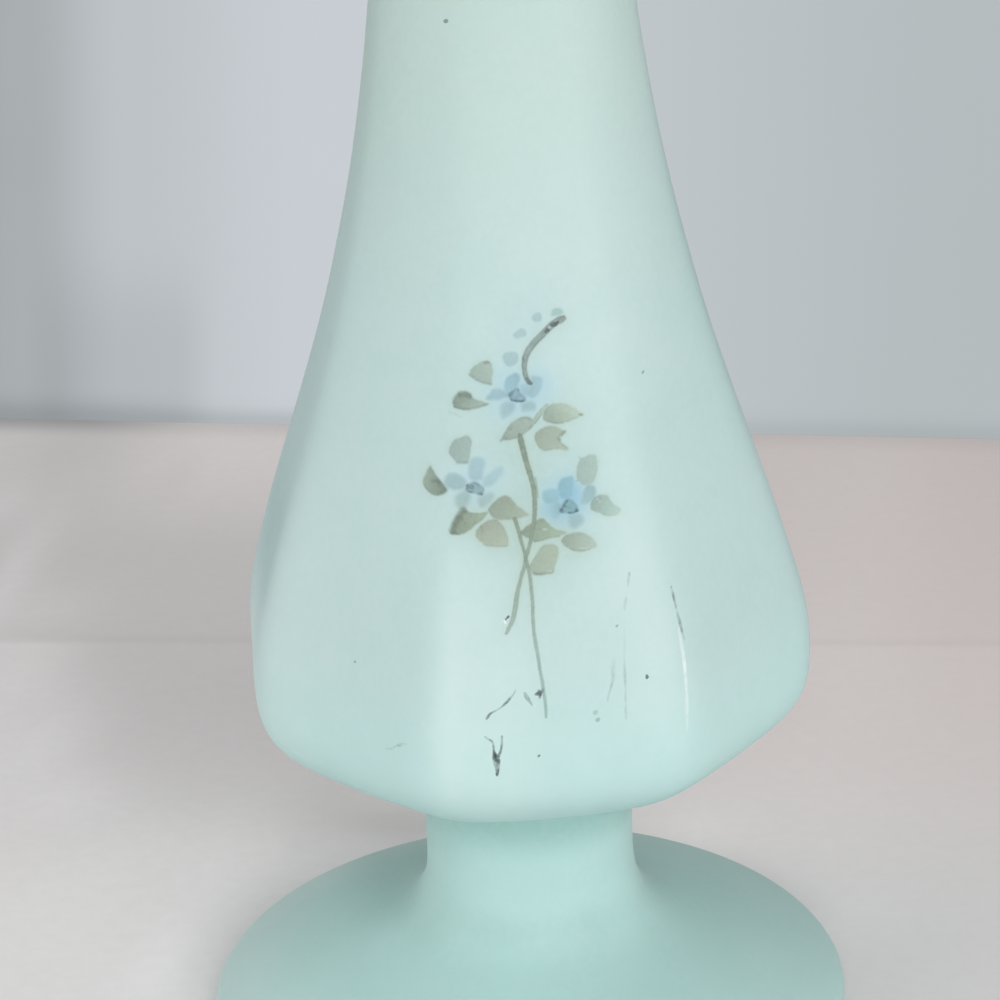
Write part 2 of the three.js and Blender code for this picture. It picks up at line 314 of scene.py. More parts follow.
def even_angle(x, y):
    way = np.arctan2(x - BODY_OFFSET, -y)
    u = way.copy()
    for _ in range(8):
        u = way - shift(u)
    return u


def turned(rings, angles, offset, turn=lambda a: a):
    """Rings of points: rings has z, radius over the ridges and flatness."""
    g = panelled(angles)
    way = turn(angles)
    z, r, flat = rings[:, 0:1], rings[:, 1:2], rings[:, 2:3]
    rr = r * (1 - flat + flat * g[None, :])
    x = rr * np.sin(way)[None, :] + offset(z)
    y = -rr * np.cos(way)[None, :]
    return np.stack([x, y, np.repeat(z, len(angles), 1)], -1)


def wrap(points, cap_first, cap_last):
    """Faces of a grid of rings that closes round and is capped at its two ends."""
    n_ring, n_ang, _ = points.shape
    verts = points.reshape(-1, 3) * MM
    a = np.arange(n_ring - 1)[:, None] * n_ang
    j = np.arange(n_ang)[None, :]
    k = (np.arange(n_ang)[None, :] + 1) % n_ang
    quads = np.stack([a + j, a + k, a + n_ang + k, a + n_ang + j], -1).reshape(-1, 4)
    faces = [tuple(q) for q in quads.tolist()]
    if cap_first:
        faces.append(tuple(range(n_ang - 1, -1, -1)))
    if cap_last:
        base = (n_ring - 1) * n_ang
        faces.append(tuple(range(base, base + n_ang)))
    return verts, faces


# ------------------------------------------------------------------ glass colour, with painted highlights and painted shade
BODY_BASE, BODY_LOW, BODY_HIGH = lin(179, 204, 202), lin(183, 216, 213), lin(178, 199, 193)
# painted highlight colour for the body's ridges and lit panels
PAINTED_HIGHLIGHT = lin(228, 240, 238)
# foot colours: base; painted shade on the stem under the body; painted light on the left of the outer rim; painted
# shade behind and beside the stem
FOOT_BASE, FOOT_STEM_SHADE, FOOT_LEFT_LIGHT, FOOT_PAINTED_SHADE = lin(179, 213, 209), lin(151, 190, 184), lin(189, 216, 212), lin(132, 170, 162)


def body_tints(z, angle, outside):
    """How much of the lower and upper colour the glass has at a height and even angle, and how much painted highlight
    it has on the ridges and panels where the light falls.
    """
    low = smoothstep(64.0 - z, 0.0, 19.0) * outside
    high = smoothstep(z, 84.0, 136.0)
    off = (angle / STEP) - 0.5
    left = off + 1.0
    # painted highlights: a lighter crest on the left front ridge, lighter bands beside the front ridges, on the left
    # panels and on the upper front, where the light falls
    crest = np.exp(-(((left - 0.06) / 0.075) ** 2)) * smoothstep(z, 40.0, 50.0) * (1 - smoothstep(z, 58.0, 84.0)) * 0.17
    beside = np.exp(-(((left - 0.24) / 0.17) ** 2)) * (1 - smoothstep(z, 60.0, 90.0)) * 0.13
    right = np.exp(-(((off + 0.12) / 0.13) ** 2)) * smoothstep(z, 45.0, 60.0) * (1 - smoothstep(z, 66.0, 90.0)) * 0.13
    flank = np.exp(-(((left + 1.38) / 0.54) ** 2)) * smoothstep(z, 41.0, 48.0) * (1 - smoothstep(z, 63.0, 88.0)) * 0.31
    flank = flank * (1 - smoothstep(-left, 0.98, 1.14) * smoothstep(z, 55.0, 66.0)) * (1 - smoothstep(-left, 1.55, 2.1))
    upper = np.exp(-(((off - 0.10) / 0.40) ** 2)) * smoothstep(z, 84.0, 98.0) * (1 - smoothstep(z, 132.0, 150.0)) * 0.09
    return low, high, np.clip(crest + beside + right + flank + upper, 0, 1) * outside


def glass_colour(m, base, first, second, painted_light_and_shade, name=""):
    v = m.coords()
    cloud = m.noise(v, 45.0, 3.0, 0.55)
    patch = m.noise(v, 190.0, 3.0, 0.6)
    fine = m.noise(v, 1100.0, 2.0, 0.6)
    colour = m.mix(m.attr("low"), base, first)
    colour = m.mix(m.attr("high"), colour, second)
    # painted light and shade: highlights on the body's ridges and lit panels, shade on the foot behind and under the
    # body
    colour = m.mix(m.attr("painted_light_and_shade"), colour, painted_light_and_shade)
    # halo: the paint's bloom round the sprig and, on the body, painted shade strips on two side panels
    if name == "painted":
        colour = m.mix(m.attr("halo"), colour, m.attr("halo_and_shade_tint", "Color"))
    colour = m.mix(m.remap(cloud, 0.36, 0.64, 0.0, 0.12), colour, lin(197, 212, 212))
    colour = m.mix(m.remap(patch, 0.38, 0.64, 0.0, 0.10), colour, lin(162, 198, 193))
    colour = m.mix(m.remap(fine, 0.40, 0.62, 0.0, 0.07), colour, lin(206, 220, 222))
    return v, patch, fine, colour


def finish_surface(m, v, patch, fine, rough):
    m.wire(m.remap(patch, 0.3, 0.7, rough - 0.04, rough + 0.04), m.p.inputs["Roughness"])
    m.set(IOR=1.47)
    m.p.inputs["Specular IOR Level"].default_value = 0.35
    grain = m.noise(v, 3200.0, 2.0, 0.6)
    m.wire(m.bump(grain, 0.05, 0.00005, m.bump(patch, 0.04, 0.0004)), m.p.inputs["Normal"])


def glass(name, *colours, kind=""):
    m = Nodes(name)
    v, patch, fine, colour = glass_colour(m, *colours, kind)
    m.wire(colour, m.p.inputs["Base Color"])
    finish_surface(m, v, patch, fine, 0.50)
    return m.mat


BODY_COLOURS = (BODY_BASE, BODY_LOW, BODY_HIGH, PAINTED_HIGHLIGHT)
body_glass = glass("satin_glass_body", *BODY_COLOURS, kind="painted")
foot_glass = glass("satin_glass_foot", FOOT_BASE, FOOT_STEM_SHADE, FOOT_LEFT_LIGHT, FOOT_PAINTED_SHADE)


def enamel(name, rough):
    """Thin fired paint over the glass: lay says how much of the glass it hides, paint is its pigment."""
    m = Nodes(name)
    v, patch, fine, colour = glass_colour(m, *BODY_COLOURS, "painted")
    hair = m.noise(v, 2400.0, 3.0, 0.65)
    cover = m.math("MULTIPLY", m.attr("lay"), m.remap(hair, 0.34, 0.60, 0.90, 1.0))
    pigment = m.mix(m.remap(fine, 0.36, 0.66, 0.0, 0.16), m.attr("paint", "Color"), m.attr("paint_dark", "Color"))
    m.wire(m.mix(cover, colour, pigment), m.p.inputs["Base Color"])
    finish_surface(m, v, patch, fine, rough)
    return m.mat


leaf_paint = enamel("enamel_leaf", 0.50)
stem_paint = enamel("enamel_stem", 0.50)
petal_paint = enamel("enamel_petal", 0.50)
centre_paint = enamel("enamel_centre", 0.48)
worn_paint = enamel("worn_glass", 0.52)

# ------------------------------------------------------------------ glass body
even = np.linspace(0, 2 * math.pi, 288, endpoint=False)
angles = even + 0.5 * np.sin(PANELS * even) / PANELS
outside = spline(BODY_OUTSIDE, 226)
lip = spline([BODY_OUTSIDE[-1]] + LIP + [BODY_INSIDE[0]], 16)[1:-1]
inside = spline(BODY_INSIDE, 104)
rings = np.concatenate([outside, lip, inside])
rings[:, 2] = np.clip(rings[:, 2], 0, 1)
grid = turned(rings, angles, lambda z: BODY_OFFSET + 0 * z, uneven)
verts, faces = wrap(grid, True, True)
out_side = np.zeros(len(rings))
out_side[: len(outside) + 7] = 1.0
wide_angles = np.repeat(np.where(angles > math.pi, angles - 2 * math.pi, angles)[None, :], len(rings), 0)
low, high, painted_light_and_shade = body_tints(grid[:, :, 2], wide_angles, np.repeat(out_side[:, None], len(angles), 1))
body = link("vase_body", verts, faces, body_glass, {"low": low, "high": high, "painted_light_and_shade": painted_light_and_shade})
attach(body, "root")
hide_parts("body")

# ------------------------------------------------------------------ stem and foot
foot_rings = spline(FOOT_PROFILE, 280)
foot_rings = np.concatenate([foot_rings, np.zeros((len(foot_rings), 1))], 1)
foot_rings[:, 0] = np.clip(foot_rings[:, 0], 0.0, None)
foot_angles = np.linspace(0, 2 * math.pi, 240, endpoint=False)
foot_grid = turned(foot_rings, foot_angles, lambda z: STEM_OFFSET * np.clip((z - 6.0) / 13.0, 0, 1))[::-1]
fverts, ffaces = wrap(foot_grid, True, True)
fz = foot_grid[:, :, 2]
fx, fy = foot_grid[:, :, 0] - STEM_OFFSET * np.clip((fz - 6.0) / 13.0, 0, 1), foot_grid[:, :, 1]
radius = np.hypot(fx, fy)
# painted shade on the foot: behind the stem under the body (behind), on the right side (across), in front of the stem
# low on the fillet (front) and in the fillet at the front left (hollow)
behind = (1 - smoothstep(fx, -9.0, 9.0)) * smoothstep(fy, -4.0, 7.0) * (1 - smoothstep(-fx, 14.0, 25.0)) * 0.50
across = smoothstep(fx, -6.0, 12.0) * (0.13 + 0.09 * smoothstep(fy, -12.0, 0.0) + 0.26 * np.exp(-(((radius - 14.0) / 4.5) ** 2)) * smoothstep(fy, -7.0, 2.0))
front = (0.14 * np.exp(-(((radius - 16.6) / 3.0) ** 2)) + 0.26 * np.exp(-(((fz - 17.2) / 2.1) ** 2))) * smoothstep(-fy, 2.0, 10.0) * (1 - smoothstep(fx, 4.0, 12.0))
hollow = 0.17 * np.exp(-(((radius - 15.3) / 2.2) ** 2)) * smoothstep(-fx, 8.0, 13.0) * smoothstep(fy, -12.0, -6.0) * (1 - smoothstep(fy, 1.0, 6.0))
shade = np.where((fz > 2.0) & (fz < 30.0), 1 - (1 - behind * smoothstep(radius, 12.9, 14.5)) * (1 - across * smoothstep(radius, 12.9, 14.5)) * (1 - front) * (1 - hollow), 0.0)
# painted shade on the top of the stem, under the body
stem_shade = 1 - (1 - smoothstep(fz, 25.5, 31.5)) * (1 - 0.42 * smoothstep(-fx, 7.5, 12.0) * smoothstep(fz, 22.5, 28.0)) * (1 - 0.50 * smoothstep(fx, 8.0, 11.5) * smoothstep(fz, 26.0, 29.5))
# the outer rim is painted lighter on the left, where the light falls
foot = link("vase_foot", fverts, ffaces, foot_glass,
            {"low": stem_shade * (radius < 14.5), "high": smoothstep(radius, 26.0, 38.0) * smoothstep(-fx, -6.0, 14.0), "painted_light_and_shade": shade})
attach(foot, "root")
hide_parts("foot")

# ------------------------------------------------------------------ the outside of the glass as a height field
bpy.context.view_layer.update()
glass_tree = BVHTree.FromObject(body, bpy.context.evaluated_depsgraph_get())


class Patch:
    """Where the front of the glass stands, over x and z in millimetres."""

    def __init__(self, x0, x1, z0, z1, step=0.125):
        self.x0, self.z0, self.x1, self.z1, self.step = x0, z0, x1, z1, step
        self.nx, self.nz = int((x1 - x0) / step) + 1, int((z1 - z0) / step) + 1
        self.y = np.zeros((self.nz, self.nx))
        for i in range(self.nz):
            for j in range(self.nx):
                p = glass_tree.ray_cast(Vector(((x0 + j * step) * MM, -0.08, (z0 + i * step) * MM)), Vector((0, 1, 0)))[0]
                self.y[i, j] = p.y / MM if p is not None else 0.0
        self.gz, self.gx = np.gradient(self.y, step)

    def at(self, x, z):
        u, w = (x - self.x0) / self.step, (z - self.z0) / self.step
        j = np.clip(np.floor(u).astype(int), 0, self.nx - 2)
        i = np.clip(np.floor(w).astype(int), 0, self.nz - 2)
        u, w = u - j, w - i

        def take(a):
            return (a[i, j] * (1 - u) + a[i, j + 1] * u) * (1 - w) + (a[i + 1, j] * (1 - u) + a[i + 1, j + 1] * u) * w

        y, gx, gz = take(self.y), take(self.gx), take(self.gz)
        n = np.stack([gx, -np.ones_like(gx), gz], -1)
        n /= np.linalg.norm(n, axis=1)[:, None]
        return np.stack([x, y, z], -1), n

    def holds(self, x, z):
        return self.x0 < x.min() and x.max() < self.x1 and self.z0 < z.min() and z.max() < self.z1


PATCHES = [Patch(-24.0, 16.5, 46.5, 104.0), Patch(-8.4, -6.0, 131.4, 133.8)]


# ------------------------------------------------------------------ paint: every stroke, in the order it was laid on
def lattice(x, z, size, seed):
    """Smooth noise from -1 to 1 over x and z."""
    u, w = x / size + 1000.0, z / size + 1000.0
    i, j = np.floor(u).astype(np.int64), np.floor(w).astype(np.int64)
    u, w = u - i, w - j
    u, w = u * u * (3 - 2 * u), w * w * (3 - 2 * w)

    def cell(a, b):
        h = (a * 374761393 + b * 668265263 + seed * 982451653) & 0x7FFFFFFF
        h = ((h ^ (h >> 13)) * 1274126177) & 0x7FFFFFFF
        return ((h ^ (h >> 16)) & 0xFFFF) / 32767.5 - 1.0

    return (cell(i, j) * (1 - u) + cell(i + 1, j) * u) * (1 - w) + (cell(i, j + 1) * (1 - u) + cell(i + 1, j + 1) * u) * w


def closed(points, spacing=0.11):
    """A smooth closed outline through the points, evenly spaced."""
    p = np.array(points, float)
    n = len(p)
    fine = []
    for i in range(n):
        a, b, c, d = p[(i - 1) % n], p[i], p[(i + 1) % n], p[(i + 2) % n]
        for t in np.linspace(0, 1, 12, endpoint=False):
            fine.append(0.5 * ((2 * b) + (c - a) * t + (2 * a - 5 * b + 4 * c - d) * t ** 2 + (3 * b - a - 3 * c + d) * t ** 3))
    fine = np.array(fine)
    loop = np.concatenate([fine, fine[:1]])
    s = np.concatenate([[0], np.cumsum(np.hypot(*np.diff(loop, axis=0).T))])
    m = max(12, int(s[-1] / spacing))
    t = np.linspace(0, s[-1], m, endpoint=False)
    return np.stack([np.interp(t, s, loop[:, 0]), np.interp(t, s, loop[:, 1])], 1)


def opened(points, spacing=0.10):
    """A smooth line through rows x, z, width (and more), evenly spaced."""
    p = np.array(points, float)
    length = np.hypot(*np.diff(p[:, :2], axis=0).T).sum()
    return spline(p, max(6, int(length / spacing)), 3)


def depth_in(x, z, loop):
    """Distance to an outline, positive inside."""
    out = np.full(len(x), -9.0)
    x0, z0 = loop.min(0) - 0.9
    x1, z1 = loop.max(0) + 0.9
    near = np.flatnonzero((x > x0) & (x < x1) & (z > z0) & (z < z1))
    if not len(near):
        return out
    px, pz = x[near][:, None], z[near][:, None]
    a, b = loop, np.roll(loop, -1, 0)
    d = b - a
    t = np.clip(((px - a[:, 0]) * d[:, 0] + (pz - a[:, 1]) * d[:, 1]) / (d ** 2).sum(1), 0, 1)
    dist = np.sqrt(((px - a[:, 0] - t * d[:, 0]) ** 2 + (pz - a[:, 1] - t * d[:, 1]) ** 2).min(1))
    cross = ((a[:, 1] > pz) != (b[:, 1] > pz)) & (px < d[:, 0] * (pz - a[:, 1]) / np.where(d[:, 1] == 0, 1e-9, d[:, 1]) + a[:, 0])
    inside_ = cross.sum(1) % 2 == 1
    out[near] = np.where(inside_, dist, -dist)
    return out


def near_line(x, z, line):
    """Distance left to the side of a line of varying width (column 2), positive inside, and how far along it is."""
    out, along = np.full(len(x), -9.0), np.zeros(len(x))
    x0, z0 = line[:, :2].min(0) - 0.9
    x1, z1 = line[:, :2].max(0) + 0.9
    near = np.flatnonzero((x > x0) & (x < x1) & (z > z0) & (z < z1))
    if not len(near):
        return out, along
    px, pz = x[near][:, None], z[near][:, None]
    a, b = line[:-1], line[1:]
    d = b[:, :2] - a[:, :2]
    t = np.clip(((px - a[:, 0]) * d[:, 0] + (pz - a[:, 1]) * d[:, 1]) / np.maximum((d ** 2).sum(1), 1e-9), 0, 1)
    dist = np.sqrt((px - a[:, 0] - t * d[:, 0]) ** 2 + (pz - a[:, 1] - t * d[:, 1]) ** 2)
    half = (a[:, 2] + t * (b[:, 2] - a[:, 2])) / 2
    gap = half - dist
    k = gap.argmax(1)
    rows = np.arange(len(near))
    out[near] = gap[rows, k]
    along[near] = (k + t[rows, k]) / len(a)
    return out, along


def pigment(colour, tone=1.0):
    return np.array(lin(*colour)[:3]) * tone


TONE = {"leaf": np.array((0.825, 0.835, 0.795)), "petal": np.array((0.80, 0.845, 0.86)), "stem": np.array((0.78, 0.80, 0.77)), "centre": np.array((0.76, 0.80, 0.82)),
        "worn": 0.9}
STROKES = []  # functions of x, z that give alpha and colour


def wash(x0, z0, rx, rz, colour, amount):
    c = pigment(colour, TONE["petal"])

    def stroke(x, z):
        k = amount * np.exp(-(((x - x0) / rx) ** 2 + ((z - z0) / rz) ** 2))
        return np.where(k > 0.004, k, 0.0), np.repeat(c[None], len(x), 0)

    STROKES.append(stroke)


def bloom(points, is_line, reach, colour, amount, seed):
    """Thinned paint that has run a little way out from a stroke."""
    path = opened([(p[0], p[1], p[2]) for p in points]) if is_line else closed(points)
    c = pigment(colour, TONE["leaf"])

    def stroke(x, z):
        s = near_line(x, z, path)[0] if is_line else depth_in(x, z, path)
        s = s + 0.06 * lattice(x, z, 0.45, seed)
        away = np.clip(-s, 0, None)
        k = amount * np.exp(-((away / (0.62 * reach)) ** 2)) * (1 - smoothstep(away, 0.80 * reach, 1.25 * reach)) * smoothstep(z, 60.0, 74.0)
        return k, np.repeat(c[None], len(x), 0)

    STROKES.append(stroke)


def dab(points, colour, dark, slope, alpha, soft, rim, rim_width, seed, mottle=0.2, kind="leaf"):
    loop = closed(points)
    c, k_dark = pigment(colour, TONE[kind]), pigment(dark, TONE[kind])
    mid = loop.mean(0)

    def stroke(x, z):
        s = depth_in(x, z, loop)
        s = s + 0.045 * lattice(x, z, 0.28, seed) + 0.02 * lattice(x, z, 0.11, seed + 7)
        cover = alpha * smoothstep(s, -0.45 * soft, 0.55 * soft)
        tilt = np.clip(slope[0] * (x - mid[0]) + slope[1] * (z - mid[1]), -0.20, 0.20)
        col = c[None] * (1 + tilt)[:, None]
        k = rim * np.exp(-((np.clip(s, 0, None) / rim_width) ** 2))
        k = np.clip(k + mottle * np.clip(lattice(x, z, 0.34, seed + 3) - 0.1, 0, 1) + 0.4 * mottle * np.clip(lattice(x, z, 0.13, seed + 5), 0, 1), 0, 1)
        col = col * (1 - k[:, None]) + (k_dark * 0.86)[None] * k[:, None]
        return cover, col

    STROKES.append(stroke)
    return loop


def line(points, colours, alpha, soft, seed, ragged=0.0, edge_dark=0.0, kind="worn"):
    """A drawn line. Rows are x, z, width and, if given, how strongly it shows; colours go evenly along it."""
    rows = [tuple(p) if len(p) == 4 else (*p, 1.0) for p in points]
    path = opened(rows)
    cols = np.array([pigment(c, TONE[kind]) for c in colours])

    def stroke(x, z):
        s, t = near_line(x, z, path)
        s = s + 0.03 * lattice(x, z, 0.22, seed) + 0.02 * lattice(x, z, 0.10, seed + 2)
        strength = np.interp(t * (len(path) - 1), np.arange(len(path)), path[:, 3])
        if ragged:
            strength = strength * (1 - ragged * np.clip(0.5 + lattice(x, z, 0.30, seed + 4), 0, 1))
        cover = alpha * strength * smoothstep(s, -0.5 * soft, 0.5 * soft)
        q = t * (len(cols) - 1)
        i = np.clip(np.floor(q).astype(int), 0, max(len(cols) - 2, 0))
        w = (q - i)[:, None] if len(cols) > 1 else np.zeros((len(x), 1))
        col = cols[i] * (1 - w) + cols[np.minimum(i + 1, len(cols) - 1)] * w
        if edge_dark:
            col = col * (1 - edge_dark * np.exp(-((np.clip(s, 0, None) / 0.10) ** 2)))[:, None]
        return np.clip(cover, 0, 1), col

    STROKES.append(stroke)
    return path


def painted(x, z):
    """Colour and cover of all strokes together at points of the glass."""
    total = np.zeros((len(x), 3))
    cover = np.zeros(len(x))
    for stroke in STROKES:
        a, c = stroke(x, z)
        total = total * (1 - a)[:, None] + c * a[:, None]
        cover = cover * (1 - a) + a
    colour = np.where(cover[:, None] > 1e-4, total / np.maximum(cover, 1e-4)[:, None], 0.5)
    return colour, cover


def grown(loop, by):
    """An outline moved outwards."""
    t = np.roll(loop, -1, 0) - np.roll(loop, 1, 0)
    n = np.stack([t[:, 1], -t[:, 0]], 1) / np.maximum(np.linalg.norm(t, axis=1), 1e-9)[:, None]
    area_ = 0.5 * (loop[:, 0] * np.roll(loop[:, 1], -1) - np.roll(loop[:, 0], -1) * loop[:, 1]).sum()
    if area_ < 0:
        n = -n
    moved = loop + n * by
    for _ in range(2):
        moved = 0.25 * np.roll(moved, 1, 0) + 0.5 * moved + 0.25 * np.roll(moved, -1, 0)
    return moved


def band(path, by):
    """The outline round a line of varying width."""
    t = np.gradient(path[:, :2], axis=0)
    n = np.stack([-t[:, 1], t[:, 0]], 1) / np.maximum(np.linalg.norm(t, axis=1), 1e-9)[:, None]
    half = path[:, 2:3] / 2 + by
    left, right = path[:, :2] + n * half, path[:, :2] - n * half
    u = t[0] / np.linalg.norm(t[0])
    v = t[-1] / np.linalg.norm(t[-1])
    start = path[0, :2] - u * half[0]
    end = path[-1, :2] + v * half[-1]
    k = 0.7
    return np.concatenate([
        [start], [path[0, :2] + (-u * k + n[0] * k) * half[0]], left[1:-1], [path[-1, :2] + (v * k + n[-1] * k) * half[-1]],
        [end], [path[-1, :2] + (v * k - n[-1] * k) * half[-1]], right[1:-1][::-1], [path[0, :2] + (-u * k - n[0] * k) * half[0]],
    ])


# faint bloom of thinned paint on the glass round the sprig: x, z, radii, colour, strength
HALOS = [
    (-2.0, 80.6, 6.6, 11.6, (140, 171, 164), 0.42), (-2.5, 91.2, 4.1, 3.6, (156, 192, 206), 0.50), (0.2, 92.4, 2.4, 2.2, (164, 198, 210), 0.30),
    (-7.8, 82.0, 4.4, 4.0, (180, 206, 214), 0.42), (2.5, 79.9, 3.7, 3.5, (156, 196, 210), 0.46), (1.6, 79.0, 2.4, 2.2, (142, 188, 206), 0.32),
    (1.4, 77.0, 1.7, 1.5, (142, 170, 164), 0.30), (-3.6, 77.6, 4.6, 3.4, (146, 171, 159), 0.22), (-4.4, 84.4, 3.6, 3.4, (150, 178, 168), 0.16), (-8.3, 79.4, 2.0, 1.6, (158, 184, 180), 0.40),
    (-4.7, 93.8, 2.6, 2.0, (164, 198, 206), 0.25), (2.6, 74.6, 1.8, 1.6, (160, 176, 164), 0.25), (-0.5, 99.2, 3.8, 4.2, (160, 190, 198), 0.26), (-8.2, 77.9, 3.2, 3.4, (158, 182, 170), 0.20),
]


def halo(x, y, z):
    """Strength and colour of the bloom at points of the front of the glass."""
    total, tint = np.zeros_like(x), np.zeros((*x.shape, 3))
    for x0, z0, rx, rz, colour, amount in LEAF_HALOS + HALOS:
        k = amount * np.exp(-((((x - x0) / rx) ** 2 + ((z - z0) / rz) ** 2) ** 1.3)) * (y < 0)
        tint = tint * (1 - k)[..., None] + np.array(lin(*colour)[:3]) * k[..., None]
        total = total * (1 - k) + k
    return total, np.where(total[..., None] > 1e-4, tint / np.maximum(total, 1e-4)[..., None], 0.5)


def blob(loops, by):
    """A round outline about several others, moved outwards."""
    pts = np.concatenate(loops)
    mid_ = 0.5 * (pts.min(0) + pts.max(0))
    out = []
    for a in np.linspace(0, 2 * math.pi, 96, endpoint=False):
        u = np.array([math.cos(a), math.sin(a)])
        out.append(((pts - mid_) @ u).max())
    r = np.array(out)
    for _ in range(10):
        r = 0.25 * np.roll(r, 1) + 0.5 * r + 0.25 * np.roll(r, -1)
    a = np.linspace(0, 2 * math.pi, 96, endpoint=False)
    return mid_ + np.stack([np.cos(a), np.sin(a)], 1) * (r + by)[:, None]


class Film:
    """Thin closed skins of paint on the glass that make one object. Their thickness follows the paint."""

    def __init__(self):
        self.v, self.f = [], []
        self.a = {k: [] for k in ("lay", "low", "high", "painted_light_and_shade", "halo")}
        self.c = {"paint": [], "paint_dark": [], "halo_and_shade_tint": []}

    def skin(self, loop, step, lift=0.0, thick=0.022):
        m = len(loop)
        x0, z0 = loop.min(0)
        x1, z1 = loop.max(0)
        gx, gz = np.meshgrid(np.arange(x0 + step / 2, x1, step), np.arange(z0 + step / 2, z1, step * 0.866))
        gx = gx + (np.arange(gx.shape[0])[:, None] % 2) * step / 2
        gx, gz = gx.ravel(), gz.ravel()
        keep = depth_in(gx, gz, loop) > 0.45 * step
        pts = np.concatenate([loop, np.stack([gx[keep], gz[keep]], 1)])
        co, _, tris, _, _, _ = delaunay_2d_cdt([Vector(p) for p in pts], [], [list(range(m))], 1, 1e-7)
        co = np.array([tuple(p) for p in co])
        tris = [tuple(t) for t in tris]
        count = {}
        for t in tris:
            for a, b in zip(t, t[1:] + t[:1]):
                count[(a, b)] = count.get((a, b), 0) + 1
        rim = [e for e in count if (e[1], e[0]) not in count]
        x, z = co[:, 0], co[:, 1]
        used = np.zeros(len(co), bool)
        used[[i for t in tris for i in t]] = True
        s = depth_in(x, z, loop)
        field = next(p for p in PATCHES if p.holds(x, z))
        at, n = field.at(x, z)
        colour, cover = painted(x, z)
        tints = body_tints(z, even_angle(x, at[:, 1]), np.ones_like(z))
        bloom_ = halo(x, at[:, 1], z)
        up = -0.006 + (0.009 + lift) * smoothstep(s, 0.0, 0.22) + thick * cover * smoothstep(s, 0.0, 0.14)
        top = (at + n * up[:, None]) * MM
        low_ = (at - n * 0.055) * MM
        base = len(self.v)
        self.v += [tuple(p) for p in top] + [tuple(p) for p in low_]
        k = len(co)
        for t in tris:
            self.f.append((base + t[0], base + t[1], base + t[2]))
            self.f.append((base + k + t[2], base + k + t[1], base + k + t[0]))
        for a, b in rim:
            self.f.append((base + b, base + a, base + k + a, base + k + b))
        for name, values in (("lay", cover), ("low", tints[0]), ("high", tints[1]), ("painted_light_and_shade", tints[2]), ("halo", bloom_[0])):
            self.a[name] += list(values) * 2
        self.c["halo_and_shade_tint"] += [tuple(c) for c in bloom_[1]] * 2
        self.c["paint"] += [tuple(c) for c in colour] * 2
        self.c["paint_dark"] += [tuple(c) for c in colour * 0.80] * 2

    def make(self, name, material, node=None):
        obj = link(name, self.v, self.f, material, self.a, {k: np.array(v) for k, v in self.c.items()})
        bm = bmesh.new()
        bm.from_mesh(obj.data)
        loose = [v for v in bm.verts if not v.link_faces]
        bmesh.ops.delete(bm, geom=loose, context="VERTS")
        bmesh.ops.recalc_face_normals(bm, faces=bm.faces)
        bm.to_mesh(obj.data)
        bm.free()
        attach(obj, "root")
        if node:
            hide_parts(node)
        return obj


